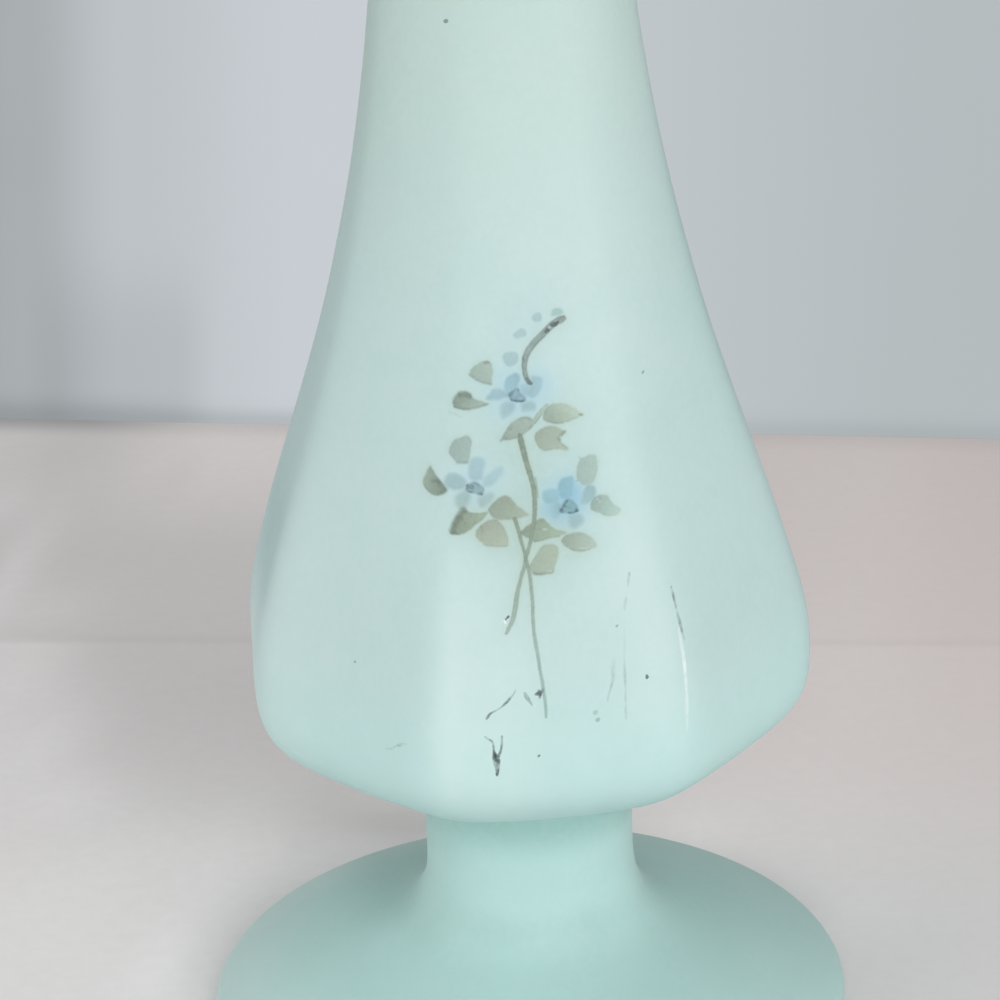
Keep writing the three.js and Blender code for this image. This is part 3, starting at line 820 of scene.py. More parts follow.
# ------------------------------------------------------------------ the sprig: outlines in x, z (mm) as seen from the front,
# leaves: outline, colour, darker pigment, how the tone changes to the right and up, darker or paler touches
LEAVES = {
    "leaf_01": ([(-7.46, 93.86), (-7.26, 94.3), (-6.89, 94.69), (-6.3, 95.07), (-5.72, 95.3), (-5.1, 95.29), (-4.86, 94.81),
        (-4.82, 94.14), (-4.94, 93.48), (-5.11, 92.72), (-5.47, 92.74), (-6.02, 92.93), (-6.57, 93.18), (-7.05, 93.5)], (165, 184, 177),
        (151, 171, 167), (0.043, 0.03), [([(-7.46, 93.86), (-6.99, 93.47), (-6.24, 93.04), (-5.13, 92.77)], 0.14, "rim", 0.9),
        ([(-5.63, 95.08), (-5.31, 95.14)], 0.16, "speck", 0.9), ([(-7.27, 94.25), (-6.66, 94.85), (-5.72, 95.26)], 0.1, "rim", 0.35)]),
    "leaf_02": ([(-9.49, 90.83), (-9.32, 91.19), (-8.98, 91.62), (-8.52, 91.88), (-8.01, 91.94), (-7.6, 91.8), (-7.35, 91.51),
        (-7.12, 91.22), (-6.72, 91.06), (-6.08, 90.87), (-5.64, 90.65), (-6.02, 90.44), (-6.69, 90.28), (-7.38, 90.12), (-8.06, 90.01),
        (-8.67, 90.09), (-9.18, 90.21), (-9.46, 90.5)], (150, 169, 160), (130, 149, 141), (0.1, -0.129), [([(-8.53, 91.72),
        (-8.08, 91.77), (-7.71, 91.59)], 0.35, "dark", 0.95), ([(-9.46, 90.77), (-9.28, 91.28), (-8.81, 91.74)], 0.17, "rim", 0.9),
        ([(-9.36, 90.34), (-8.72, 90.15), (-7.83, 90.1), (-6.69, 90.31), (-5.67, 90.64)], 0.15, "rim", 0.95), ([(-7.49, 91.48),
        (-7.18, 91.14)], 0.12, "rim", 0.5)]),
    "leaf_03": ([(-4.63, 86.52), (-4.36, 87.02), (-3.97, 87.56), (-3.55, 88.15), (-3.08, 88.57), (-2.48, 88.87), (-1.78, 89.05),
        (-1.23, 89.05), (-0.82, 88.8), (-0.62, 88.42), (-0.8, 88.02), (-1.32, 87.63), (-1.93, 87.28), (-2.53, 86.93), (-3.12, 86.72),
        (-3.82, 86.65), (-4.25, 86.67)], (156, 174, 167), (140, 158, 150), (0.036, 0.05), [([(-4.5, 86.64),
        (-4.02, 86.9)], 0.22, "rim", 0.8), ([(-4.04, 86.7), (-3.12, 86.77), (-2.41, 87.01), (-1.69, 87.38),
        (-0.89, 87.99)], 0.12, "rim", 0.9), ([(-2.25, 88.89), (-1.67, 88.99), (-1.06, 88.73)], 0.12, "rim", 0.9), ([(-4.29, 87.08),
        (-3.84, 87.66), (-3.21, 88.46)], 0.11, "rim", 0.5), ([(-3.58, 87.87), (-3.39, 87.64), (-3.25, 87.88), (-3.42, 88.03),
        (-3.58, 87.87)], 0.06, "dark", 0.7)]),
    "leaf_04": ([(0.38, 88.95), (0.5, 89.33), (0.82, 89.79), (1.31, 90.08), (1.91, 90.22), (2.61, 90.21), (3.41, 89.91), (4.08, 89.5),
        (4.63, 89.0), (4.99, 88.72), (4.47, 88.52), (3.75, 88.32), (3.02, 88.11), (2.19, 88.0), (1.39, 88.17), (0.83, 88.4),
        (0.47, 88.59)], (169, 187, 175), (146, 163, 152), (0.135, 0.099), [([(0.47, 88.56), (0.94, 88.33), (1.62, 88.12),
        (2.55, 88.04)], 0.12, "rim", 0.8), ([(4.59, 88.75), (4.87, 88.72)], 0.14, "speck", 0.9), ([(0.55, 89.27), (0.88, 89.75),
        (1.68, 90.24)], 0.12, "rim", 0.6), ([(3.03, 88.15), (4.35, 88.48)], 0.09, "rim", 0.4)]),
    "leaf_05": ([(-0.71, 86.71), (-0.49, 87.24), (0.01, 87.6), (0.66, 87.82), (1.48, 87.81), (2.18, 87.53), (2.73, 87.09), (2.47, 86.82),
        (2.05, 86.6), (2.07, 86.24), (2.34, 85.85), (2.93, 85.29), (2.77, 85.03), (2.08, 85.21), (1.15, 85.29), (0.21, 85.22),
        (-0.33, 85.68), (-0.64, 86.15)], (162, 178, 165), (150, 166, 153), (0.05, -0.032), [([(2.73, 87.09), (2.33, 86.79), (2.01, 86.54),
        (2.07, 86.21)], 0.17, "dark", 0.9), ([(2.36, 85.74), (2.9, 85.27)], 0.14, "rim", 0.8), ([(0.22, 85.25),
        (1.15, 85.3)], 0.11, "rim", 0.7), ([(-0.67, 86.48), (-0.7, 86.82), (-0.49, 87.19)], 0.11, "rim", 0.8), ([(0.0, 87.59),
        (0.89, 87.8)], 0.09, "rim", 0.3), ([(-0.43, 85.91), (-0.17, 85.54)], 0.11, "rim", 0.6)]),
    "leaf_06": ([(-10.36, 85.56), (-10.15, 86.13), (-9.83, 86.61), (-9.33, 86.95), (-8.75, 87.14), (-8.27, 87.26), (-7.91, 87.02),
        (-7.77, 86.63), (-7.88, 86.07), (-8.03, 85.43), (-8.19, 84.87), (-8.34, 84.45), (-8.72, 84.3), (-9.1, 84.26), (-9.56, 84.35),
        (-9.91, 84.67), (-10.24, 85.11)], (159, 181, 178), (152, 174, 169), (0.051, -0.025), [([(-9.6, 84.38), (-9.09, 84.31),
        (-8.47, 84.38)], 0.15, "blue", 0.9), ([(-8.02, 86.86), (-7.84, 86.54)], 0.08, "rim", 0.5), ([(-10.34, 85.56),
        (-10.19, 85.16)], 0.08, "rim", 0.4), ([(-10.15, 86.13), (-9.83, 86.59)], 0.07, "rim", 0.3)]),
    "leaf_07": ([(-12.5, 83.74), (-12.24, 83.41), (-11.98, 82.91), (-11.67, 82.42), (-11.33, 82.0), (-10.99, 81.41), (-11.11, 81.11),
        (-11.47, 80.88), (-11.92, 80.66), (-12.46, 80.67), (-12.88, 80.86), (-13.24, 81.23), (-13.41, 81.73), (-13.27, 82.3),
        (-12.97, 82.91), (-12.7, 83.41)], (150, 169, 158), (119, 137, 127), (-0.177, 0.044), [([(-12.39, 82.12), (-11.87, 82.16),
        (-11.67, 81.87)], 0.21, "dark", 0.9), ([(-11.77, 82.31), (-11.4, 81.91), (-11.04, 81.35)], 0.18, "dark", 0.85), ([(-11.48, 80.99),
        (-11.14, 81.22)], 0.18, "dark", 0.9), ([(-12.59, 83.43), (-12.4, 83.2)], 0.08, "rim", 0.3)]),
    "leaf_08": ([(-6.65, 79.21), (-6.14, 79.79), (-5.62, 80.24), (-5.01, 80.58), (-4.52, 80.72), (-4.06, 80.49), (-3.77, 80.15),
        (-3.36, 79.56), (-2.82, 79.11), (-2.27, 78.65), (-2.02, 78.4), (-2.5, 78.25), (-3.09, 78.14), (-3.68, 78.08), (-4.36, 78.03),
        (-5.23, 78.05), (-5.9, 78.18), (-6.34, 78.59)], (153, 168, 155), (143, 160, 148), (0.052, -0.031), [([(-4.31, 80.36),
        (-4.22, 79.72), (-3.84, 79.64)], 0.07, "rim", 0.6), ([(-5.23, 78.06), (-4.36, 78.05), (-3.49, 78.09)], 0.07, "rim", 0.4),
        ([(-6.41, 79.52), (-5.83, 80.06)], 0.07, "rim", 0.4)]),
    "leaf_09": ([(-9.33, 79.48), (-8.97, 79.23), (-8.61, 79.05), (-8.04, 78.98), (-7.37, 78.93), (-6.63, 78.96), (-7.12, 78.36),
        (-7.63, 77.99), (-8.16, 77.63), (-8.68, 77.18), (-9.28, 76.82), (-9.97, 76.59), (-10.54, 76.62), (-10.97, 76.7), (-10.86, 77.18),
        (-10.62, 77.74), (-10.28, 78.4), (-9.87, 78.95), (-9.56, 79.28)], (145, 161, 146), (112, 130, 118),
        (0.12, -0.032), [([(-9.33, 79.28), (-9.72, 78.86), (-10.11, 78.26), (-10.49, 77.61), (-10.79, 76.95)], 0.38, "dark", 0.95),
        ([(-9.6, 78.58), (-9.56, 78.26)], 0.13, "speck", 0.8), ([(-8.63, 78.85), (-8.6, 78.57)], 0.09, "speck", 0.6), ([(-10.72, 76.71),
        (-10.01, 76.64)], 0.1, "rim", 0.6), ([(-7.96, 77.72), (-7.19, 78.32)], 0.08, "rim", 0.6), ([(-10.37, 76.92),
        (-10.28, 76.78)], 0.1, "speck", 0.5)]),
    "leaf_10": ([(-6.38, 78.14), (-5.8, 78.16), (-5.35, 77.8), (-5.01, 77.31), (-4.81, 76.74), (-4.67, 76.18), (-4.64, 75.71),
        (-4.73, 75.18), (-5.49, 75.13), (-6.25, 75.21), (-7.01, 75.34), (-7.57, 75.64), (-8.01, 76.04), (-8.22, 76.42), (-8.12, 76.98),
        (-7.79, 77.43), (-7.28, 77.79), (-6.78, 78.03)], (164, 177, 164), (151, 164, 149), (0.031, -0.077), [([(-7.49, 75.45),
        (-6.73, 75.27), (-5.67, 75.2), (-4.78, 75.23)], 0.1, "rim", 0.75), ([(-7.49, 77.42), (-7.45, 76.91)], 0.13, "dark", 0.6),
        ([(-5.05, 77.32), (-4.78, 76.56), (-4.68, 75.71)], 0.06, "rim", 0.35)]),
    "leaf_11": ([(5.27, 84.29), (5.81, 84.28), (6.14, 84.07), (6.2, 83.56), (6.2, 82.96), (6.08, 82.37), (5.83, 81.79), (5.53, 81.32),
        (5.0, 81.08), (4.41, 81.12), (3.96, 81.49), (3.69, 82.02), (3.66, 82.63), (3.84, 83.21), (4.07, 83.69), (4.5, 84.05)],
        (165, 189, 185), (161, 184, 178), (0.057, -0.004), [([(4.14, 84.21), (4.2, 83.98)], 0.08, "speck", 0.7), ([(3.63, 81.64),
        (3.75, 81.69)], 0.09, "speck", 0.6), ([(4.39, 83.96), (5.16, 84.26)], 0.08, "rim", 0.25), ([(6.35, 83.52),
        (6.46, 83.55)], 0.07, "speck", 0.4)]),
    "leaf_12": ([(5.01, 78.97), (5.29, 79.44), (5.75, 79.8), (6.4, 79.86), (7.03, 79.72), (7.33, 79.21), (7.57, 78.78), (8.02, 78.42),
        (8.43, 77.94), (8.03, 77.52), (7.27, 77.45), (6.52, 77.6), (6.01, 77.86), (5.39, 78.13), (5.04, 78.46)], (163, 189, 184),
        (146, 173, 172), (0.111, -0.064), [([(5.04, 78.46), (5.08, 78.96), (5.34, 79.44)], 0.1, "rim", 0.4), ([(5.87, 79.43),
        (5.92, 79.37)], 0.09, "light", 0.9), ([(6.07, 79.16), (6.11, 79.09)], 0.09, "light", 0.9), ([(6.2, 79.49),
        (6.28, 79.45)], 0.08, "speck", 0.6), ([(6.31, 77.64), (7.27, 77.47)], 0.08, "rim", 0.3), ([(5.8, 79.23),
        (5.94, 79.27)], 0.08, "speck", 0.6)]),
    "leaf_13": ([(1.34, 75.32), (1.78, 75.86), (2.43, 76.05), (3.18, 76.11), (3.92, 75.96), (4.53, 75.6), (5.04, 75.14), (5.36, 74.39),
        (4.83, 74.16), (4.18, 74.07), (3.43, 74.0), (2.7, 74.16), (2.09, 74.51), (1.59, 74.87)], (163, 181, 171), (151, 166, 156),
        (0.108, -0.048), [([(1.59, 74.89), (2.09, 74.55), (2.7, 74.2), (3.54, 74.04), (4.4, 74.1)], 0.12, "rim", 0.8), ([(3.35, 74.39),
        (3.88, 74.28), (4.42, 74.32)], 0.07, "light", 0.5), ([(1.39, 75.29), (1.61, 75.68)], 0.11, "rim", 0.5)]),
    "leaf_14": ([(-3.28, 76.64), (-2.75, 77.01), (-2.2, 77.38), (-1.65, 77.66), (-1.0, 77.92), (-0.47, 77.93), (-0.07, 77.53),
        (0.39, 76.99), (0.79, 76.7), (1.41, 76.45), (2.04, 76.19), (1.25, 75.86), (0.4, 75.78), (-0.35, 75.63), (-1.1, 75.47),
        (-1.63, 75.46), (-2.03, 75.74), (-2.63, 76.0), (-3.13, 76.28)], (149, 168, 152), (131, 145, 126),
        (0.092, -0.051), [([(-1.63, 75.5), (-1.1, 75.51), (-0.14, 75.7), (1.14, 75.87)], 0.1, "rim", 0.6), ([(-0.57, 76.76),
        (-0.35, 76.69), (-0.25, 76.78)], 0.08, "light", 0.8), ([(-0.91, 77.69), (-0.48, 77.86)], 0.09, "rim", 0.4), ([(-1.67, 75.63),
        (-1.73, 75.53)], 0.1, "speck", 0.7)]),
    "leaf_15": ([(0.23, 75.11), (0.64, 74.95), (0.95, 74.62), (0.96, 74.12), (0.73, 73.43), (0.46, 72.75), (0.28, 72.26), (0.09, 71.89),
        (-0.67, 71.91), (-1.41, 71.81), (-2.03, 71.96), (-2.5, 72.45), (-2.54, 72.82), (-2.21, 73.35), (-1.76, 73.93), (-1.28, 74.6),
        (-0.83, 74.97), (-0.29, 75.15)], (165, 181, 168), (155, 173, 157), (0.047, -0.016), [([(-2.11, 72.04), (-1.46, 71.92),
        (-0.88, 71.95)], 0.16, "dark", 0.75), ([(-0.77, 71.94), (-0.03, 71.96), (0.14, 72.19)], 0.09, "rim", 0.8), ([(-0.22, 72.25),
        (-0.14, 72.17)], 0.08, "light", 0.8), ([(-1.17, 74.64), (-0.72, 75.01)], 0.08, "rim", 0.4)]),
}
# petals of each flower: outline, colour, darker pigment, change of tone
PETALS = {
    "flower_upper": [([(-3.7, 92.15), (-3.58, 93.09), (-3.13, 93.57), (-2.37, 93.9), (-1.91, 93.68), (-1.89, 93.12), (-2.11, 92.57),
        (-2.37, 91.92), (-2.89, 91.67), (-3.45, 91.69)], (150, 185, 194), (144, 177, 186), (-0.056, -0.025)), ([(-5.81, 91.09),
        (-5.44, 91.71), (-4.95, 92.2), (-4.15, 92.2), (-3.5, 91.86), (-3.05, 91.51), (-3.41, 91.28), (-4.13, 91.11), (-4.93, 91.02)],
        (156, 185, 192), (149, 180, 189), (-0.031, 0.026)), ([(-0.59, 93.35), (0.07, 93.37), (0.66, 93.11), (0.61, 92.5), (0.31, 91.74),
        (-0.2, 91.22), (-0.7, 91.01), (-1.03, 91.5), (-0.73, 92.37)], (159, 189, 195), (150, 181, 187), (0.069, 0.001)), ([(-4.28, 90.4),
        (-3.58, 90.83), (-2.77, 90.63), (-2.64, 90.15), (-2.97, 89.59), (-3.6, 89.18), (-4.1, 89.03), (-4.36, 89.46)], (162, 190, 197),
        (156, 183, 190), (-0.09, 0.031)), ([(-1.89, 90.5), (-0.95, 90.72), (-0.35, 90.34), (-0.51, 89.74), (-1.39, 89.58),
        (-1.95, 89.76)], (159, 187, 189), (153, 182, 189), (0.007, -0.04)), ([(-1.96, 92.51), (-1.37, 92.69), (-0.81, 92.43),
        (-0.69, 91.81), (-1.02, 91.33), (-1.7, 91.38), (-2.03, 91.9)], (164, 195, 204), (155, 186, 196), (-0.052, 0.125))],
    "flower_left": [([(-8.22, 84.5), (-7.89, 84.87), (-7.14, 84.96), (-6.58, 84.76), (-6.4, 84.36), (-6.6, 83.81), (-6.78, 83.26),
        (-6.94, 82.61), (-7.46, 82.33), (-8.12, 82.44), (-8.42, 82.93), (-8.4, 83.76)], (164, 193, 198), (159, 188, 195), (0.011, 0.039)),
        ([(-4.62, 83.85), (-4.55, 83.26), (-5.01, 82.61), (-5.66, 81.99), (-6.46, 81.65), (-6.95, 81.85), (-6.88, 82.42), (-6.35, 82.97),
        (-5.73, 83.41), (-5.13, 83.76)], (167, 196, 201), (164, 194, 198), (0.016, 0.025)), ([(-11.16, 82.37), (-10.9, 82.88),
        (-10.41, 83.19), (-9.75, 83.22), (-9.2, 82.93), (-8.76, 82.47), (-8.71, 81.98), (-9.13, 81.52), (-9.92, 81.38), (-10.66, 81.49),
        (-11.1, 81.82)], (163, 188, 189), (159, 185, 187), (-0.015, 0.028)), ([(-10.09, 80.69), (-9.56, 81.17), (-8.88, 81.37),
        (-8.42, 80.98), (-8.48, 80.33), (-8.91, 79.76), (-9.53, 79.4), (-10.07, 79.67), (-10.18, 80.24)], (164, 189, 187),
        (158, 184, 181), (-0.075, -0.003)), ([(-7.53, 80.66), (-6.81, 81.03), (-6.03, 81.11), (-5.71, 80.71), (-6.0, 80.16),
        (-6.63, 79.7), (-7.33, 79.45), (-7.68, 80.03)], (166, 191, 190), (163, 186, 182), (0.041, 0.061))],
    "flower_right": [([(1.62, 81.69), (2.21, 82.18), (3.19, 82.19), (3.38, 81.75), (3.21, 81.16), (3.04, 80.38), (2.79, 79.98),
        (2.01, 79.85), (1.5, 80.29), (1.46, 81.12)], (141, 182, 194), (135, 175, 183), (0.057, -0.01)), ([(-0.41, 80.25), (-0.25, 80.86),
        (0.32, 81.09), (1.16, 80.97), (1.57, 80.61), (1.52, 80.01), (1.05, 79.53), (0.29, 79.44), (-0.24, 79.73)], (149, 188, 197),
        (145, 180, 190), (0.015, 0.07)), ([(4.4, 80.62), (4.89, 81.11), (5.52, 80.94), (5.78, 80.39), (5.55, 79.72), (5.05, 79.25),
        (4.39, 79.01), (3.86, 79.27), (4.12, 79.87)], (154, 184, 186), (148, 175, 175), (-0.037, -0.051)), ([(0.6, 79.38), (1.24, 79.53),
        (1.53, 79.11), (1.46, 78.31), (0.88, 77.75), (0.33, 78.1), (0.34, 78.8)], (155, 189, 196), (139, 177, 184), (-0.244, -0.064)),
        ([(2.54, 77.99), (3.36, 78.15), (3.99, 77.77), (4.05, 77.16), (3.47, 76.69), (2.69, 76.53), (2.36, 77.12)], (160, 187, 190),
        (155, 179, 180), (0.016, 0.026))],
}
# middles: outline, colour, darker pigment, dark touches
CENTRES = {
    "flower_upper": ([(-3.39, 91.52), (-2.92, 91.94), (-2.31, 92.18), (-1.89, 91.67), (-1.4, 91.19), (-1.5, 90.73), (-2.34, 90.67),
        (-3.09, 90.93)], (139, 171, 181), (115, 147, 158), [([(-3.09, 91.51), (-2.94, 91.67)], 0.2, 0.9), ([(-2.67, 91.91),
        (-2.79, 91.81)], 0.12, 0.8), ([(-2.16, 92.11), (-2.14, 91.9)], 0.1, 0.7), ([(-3.0, 90.93), (-2.32, 90.82),
        (-1.73, 90.77)], 0.11, 1.0), ([(-2.52, 90.9), (-2.42, 90.81)], 0.12, 0.9), ([(-1.65, 90.87), (-1.8, 90.75)], 0.12, 0.9),
        ([(-3.1, 91.18), (-2.99, 91.06)], 0.1, 0.5)]),
    "flower_left": ([(-8.94, 81.43), (-8.78, 81.91), (-8.33, 82.2), (-7.75, 82.33), (-7.18, 81.97), (-6.83, 81.59), (-6.93, 81.03),
        (-7.29, 80.75), (-7.87, 80.95), (-8.43, 81.05), (-8.8, 81.2)], (142, 171, 174), (124, 153, 156), [([(-8.63, 81.77),
        (-8.37, 81.79), (-8.16, 81.7)], 0.25, 0.85), ([(-8.65, 81.24), (-8.28, 81.18)], 0.1, 0.8), ([(-7.43, 81.0),
        (-7.15, 80.93)], 0.14, 0.85), ([(-7.91, 82.13), (-7.4, 81.88)], 0.1, 0.45), ([(-8.77, 81.49), (-8.71, 81.4)], 0.08, 0.5)]),
    "flower_right": ([(1.36, 78.7), (1.75, 79.29), (2.35, 79.86), (2.77, 79.8), (3.36, 79.24), (3.63, 78.51), (3.28, 78.22),
        (2.41, 78.25), (1.57, 78.38)], (128, 167, 172), (111, 148, 154), [([(1.53, 78.55), (1.82, 78.88), (2.07, 79.26),
        (2.37, 79.63)], 0.13, 0.8), ([(1.72, 78.69), (1.9, 78.47), (1.68, 78.41)], 0.09, 0.85), ([(2.06, 79.11),
        (2.21, 78.96)], 0.08, 0.8), ([(2.46, 78.29), (3.05, 78.26), (3.39, 78.48)], 0.12, 0.95), ([(3.35, 78.59),
        (3.45, 78.45)], 0.16, 0.9), ([(1.5, 78.81), (1.65, 78.69)], 0.09, 0.7)]),
}
# buds: outline, colour, darker pigment
BUDS = {
    "bud_1": ([(2.18, 99.81), (2.34, 100.51), (2.94, 100.66), (3.47, 100.41), (3.6, 100.04), (3.11, 99.8), (2.64, 99.76)],
        (164, 193, 190), (159, 188, 187)),
    "bud_2": ([(-0.03, 99.77), (0.13, 100.15), (0.59, 100.34), (1.04, 100.14), (1.12, 99.68), (0.92, 99.33), (0.45, 99.32),
        (0.08, 99.46)], (168, 194, 197), (161, 189, 190)),
    "bud_3": ([(-2.28, 98.0), (-1.85, 98.43), (-1.37, 98.74), (-0.92, 98.6), (-0.72, 98.19), (-0.92, 97.81), (-1.45, 97.73),
        (-1.8, 97.56)], (171, 196, 198), (167, 191, 194)),
    "bud_4": ([(-3.63, 95.76), (-3.16, 96.17), (-2.36, 96.24), (-1.87, 95.9), (-1.96, 95.12), (-2.36, 94.7), (-2.94, 94.61),
        (-3.46, 95.0)], (167, 194, 195), (161, 188, 190)),
}

STEMS = {
    "stem_tip": ([(3.62, 99.42, 0.5), (3.31, 99.35, 0.78), (2.83, 99.18, 0.82), (2.219, 98.85, 0.782), (1.526, 98.3, 0.768), (0.948, 97.82, 0.763),
                  (0.313, 97.3, 0.754), (-0.263, 96.75, 0.733), (-0.748, 96.14, 0.748), (-1.072, 95.49, 0.704), (-1.248, 94.8, 0.615), (-1.282, 94.25, 0.564),
                  (-1.22, 93.63, 0.54), (-1.1, 93.12, 0.58), (-0.85, 92.69, 0.5)],
                 [(137, 153, 148), (141, 159, 155), (133, 151, 148)], 0.96),
    "stem_main": ([(-2.36, 87.05, 0.49), (-2.33, 86.58, 0.666), (-2.22, 85.91, 0.686), (-2.12, 85.4, 0.666), (-1.95, 84.49, 0.627), (-1.76, 83.57, 0.608),
                   (-1.52, 82.55, 0.588), (-1.33, 81.53, 0.568), (-1.28, 80.32, 0.529), (-1.37, 79.12, 0.51), (-1.483, 78.13, 0.49), (-1.667, 77.34, 0.461),
                   (-1.904, 76.45, 0.441), (-2.169, 75.46, 0.431), (-2.552, 74.48, 0.407), (-2.82, 73.8, 0.403), (-3.01, 73, 0.397), (-3.38, 72.12, 0.389),
                   (-3.767, 71.03, 0.407), (-4.179, 69.77, 0.495), (-4.42, 68.62, 0.525), (-4.7, 67.59, 0.49), (-5.05, 66.77, 0.459), (-5.39, 66.2, 0.406),
                   (-5.72, 65.67, 0.33)],
                  [(126, 143, 131), (140, 159, 142), (162, 185, 178)], 0.96),
    "stem_side": ([(-3.68, 78.01, 0.49), (-3.52, 77.3, 0.461), (-3.33, 76.44, 0.421), (-3.179, 75.52, 0.392), (-2.98, 74.61, 0.379), (-2.849, 73.8, 0.374),
                   (-2.671, 72.78, 0.374), (-2.535, 71.8, 0.375), (-2.505, 70.95, 0.378), (-2.49, 69.92, 0.385), (-2.49, 68.62, 0.381), (-2.57, 67.32, 0.375),
                   (-2.58, 65.75, 0.381), (-2.48, 64.29, 0.381), (-2.34, 62.96, 0.381), (-2.22, 61.37, 0.371), (-2.05, 60.03, 0.361), (-1.96, 58.67, 0.351),
                   (-1.85, 57.3, 0.332), (-1.86, 56.33, 0.303), (-1.89, 55.85, 0.234)],
                  [(132, 148, 134), (152, 175, 167), (160, 193, 189)], 0.92),
}
STEM_TOUCHES = [
    # black specks and the dark end on the tip stroke, the smear that joins two leaves, a faint stroke beside the second leaf
    ([(2.1, 98.88, 0.40), (2.42, 98.84, 0.60), (2.72, 98.95, 0.40), (2.9, 99.1, 0.24)], (58, 70, 72), 0.88), ([(1.44, 98.18, 0.40), (1.66, 98.34, 0.44)], (50, 62, 64), 0.88),
    ([(3.0, 99.42, 0.22), (3.6, 99.70, 0.24)], (112, 126, 124), 0.5), ([(-1.32, 95.5, 0.24), (-1.28, 95.34, 0.24)], (90, 106, 102), 0.7),
    ([(-1.12, 93.2, 0.30), (-1.0, 92.95, 0.40), (-0.84, 92.74, 0.48), (-0.62, 92.60, 0.30)], (84, 102, 104), 0.8),
    ([(-1.16, 95.9, 0.16), (-1.42, 95.0, 0.18), (-1.46, 94.2, 0.18), (-1.36, 93.5, 0.20)], (112, 130, 124), 0.6),
    ([(-0.2, 96.4, 0.16), (0.5, 97.1, 0.18), (1.1, 97.65, 0.16)], (112, 130, 124), 0.55),
    ([(-2.50, 86.9, 0.20), (-2.39, 86.3, 0.22), (-2.25, 85.6, 0.18)], (112, 128, 112), 0.6),
    ([(-1.0, 82.4, 0.16), (-0.92, 81.2, 0.18), (-0.92, 80.2, 0.16)], (116, 130, 110), 0.55),
    ([(-0.72, 88.36, 0.50), (-0.36, 88.80, 0.56), (0.05, 89.32, 0.52), (0.48, 89.78, 0.46), (0.95, 90.15, 0.34)], (152, 170, 154), 0.80),
    ([(-0.55, 88.25, 0.16), (-0.1, 88.75, 0.16), (0.28, 89.2, 0.14)], (128, 146, 124), 0.6),
    ([(-9.95, 89.72, 0.30), (-9.4, 89.58, 0.34), (-8.75, 89.32, 0.26)], (164, 188, 180), 0.30),
]
STEM_PALE = [([(1.92, 98.62, 0.18), (1.86, 98.52, 0.18)], (196, 212, 208), 0.7)]

LEAF_HALOS = []
for points, *_ in LEAVES.values():
    p_ = np.array(points)
    half = 0.5 * (p_.max(0) - p_.min(0))
    LEAF_HALOS.append((*(0.5 * (p_.max(0) + p_.min(0))), half[0] + 1.3, half[1] + 1.3, (166, 188, 172), 0.13))
for points, _, _ in STEMS.values():
    for x0, z0, *_ in opened([p[:3] for p in points], 1.6):
        strength = 0.055 + 0.055 * smoothstep(np.array([z0]), 60.0, 76.0)[0]
        if strength > 0.004:
            LEAF_HALOS.append((x0, z0, 1.5, 1.5, (164, 188, 170), strength))
flat = grid.reshape(-1, 3)
bloom_and_shade_amount, bloom_and_shade_colour = halo(flat[:, 0], flat[:, 1], flat[:, 2])
off = wide_angles.ravel() / STEP - 0.5
height = flat[:, 2]
# painted shade on the body: a darker strip on the panel left of the front, where it turns from the light, and one on
# the upper right panel; they go into the halo attribute with the paint's bloom
shade_strip = smoothstep(-off, 2.00, 2.14) * smoothstep(height, 58.5, 67.5) * (1 - smoothstep(height, 69.5, 81.0)) * 0.30 * (1 - smoothstep(-off, 2.55, 3.1))
shade_strip = shade_strip + smoothstep(off, 0.72, 1.12) * smoothstep(height, 70.0, 84.0) * (1 - smoothstep(height, 106.0, 122.0)) * 0.26 * (1 - smoothstep(off, 1.4, 2.2))
bloom_and_shade_colour = np.where((shade_strip > bloom_and_shade_amount)[:, None], np.array(lin(140, 177, 175)[:3]), bloom_and_shade_colour)
bloom_and_shade_amount = np.maximum(bloom_and_shade_amount, shade_strip)
layer = body.data.attributes.new("halo", "FLOAT", "POINT")
layer.data.foreach_set("value", (bloom_and_shade_amount * np.repeat(out_side, len(angles))).astype(np.float32))
layer = body.data.attributes.new("halo_and_shade_tint", "FLOAT_COLOR", "POINT")
layer.data.foreach_set("color", np.concatenate([bloom_and_shade_colour, np.ones((len(flat), 1))], 1).astype(np.float32).ravel())
LEAF_BLOOM, STEM_BLOOM = 0.62, 0.50

# stronger washes inside the flowers
for x0, z0, rx, rz, colour, amount in [
    (-2.3, 91.6, 2.1, 1.7, (164, 198, 214), 0.55), (0.2, 92.6, 1.3, 1.2, (166, 200, 214), 0.40), (-7.8, 82.0, 2.4, 2.0, (178, 206, 216), 0.50),
    (2.4, 79.7, 2.3, 1.9, (152, 192, 210), 0.60), (2.9, 80.6, 1.4, 1.3, (132, 182, 208), 0.55), (0.3, 78.9, 1.2, 0.9, (142, 184, 206), 0.40),
    (2.0, 78.3, 1.9, 1.2, (150, 190, 208), 0.35),
]:
    wash(x0, z0, rx, rz, colour, amount)

for i, (name, leaf) in enumerate(LEAVES.items()):
    bloom(leaf[0], False, LEAF_BLOOM, (180, 196, 178), 0.16, 1200 + i)
for i, (name, (points, colours, alpha)) in enumerate(STEMS.items()):
    bloom(points, True, STEM_BLOOM, (182, 196, 172) if name != "stem_tip" else (184, 200, 194), 0.26 if name != "stem_tip" else 0.20, 1230 + i)
petal_loops = {}
for order, (name, petals) in enumerate(PETALS.items()):
    petal_loops[name] = [
        dab(points, tuple(v * (1.0 if i < 3 else 0.97) for v in colour), dark, slope, 0.92 if i < 3 else 0.84, (0.62 if order == 1 else 0.48) if i < 3 else 0.76, 0.14, 0.22, 100 + order * 17 + i, 0.14, "petal")
        for i, (points, colour, dark, slope) in enumerate(petals)
    ]
bud_loops = {
    name: dab(points, colour, dark, (0.0, 0.0), 0.90, 0.34, 0.15, 0.16, 300 + i, 0.18, "petal")
    for i, (name, (points, colour, dark)) in enumerate(BUDS.items())
}
leaf_loops = {}
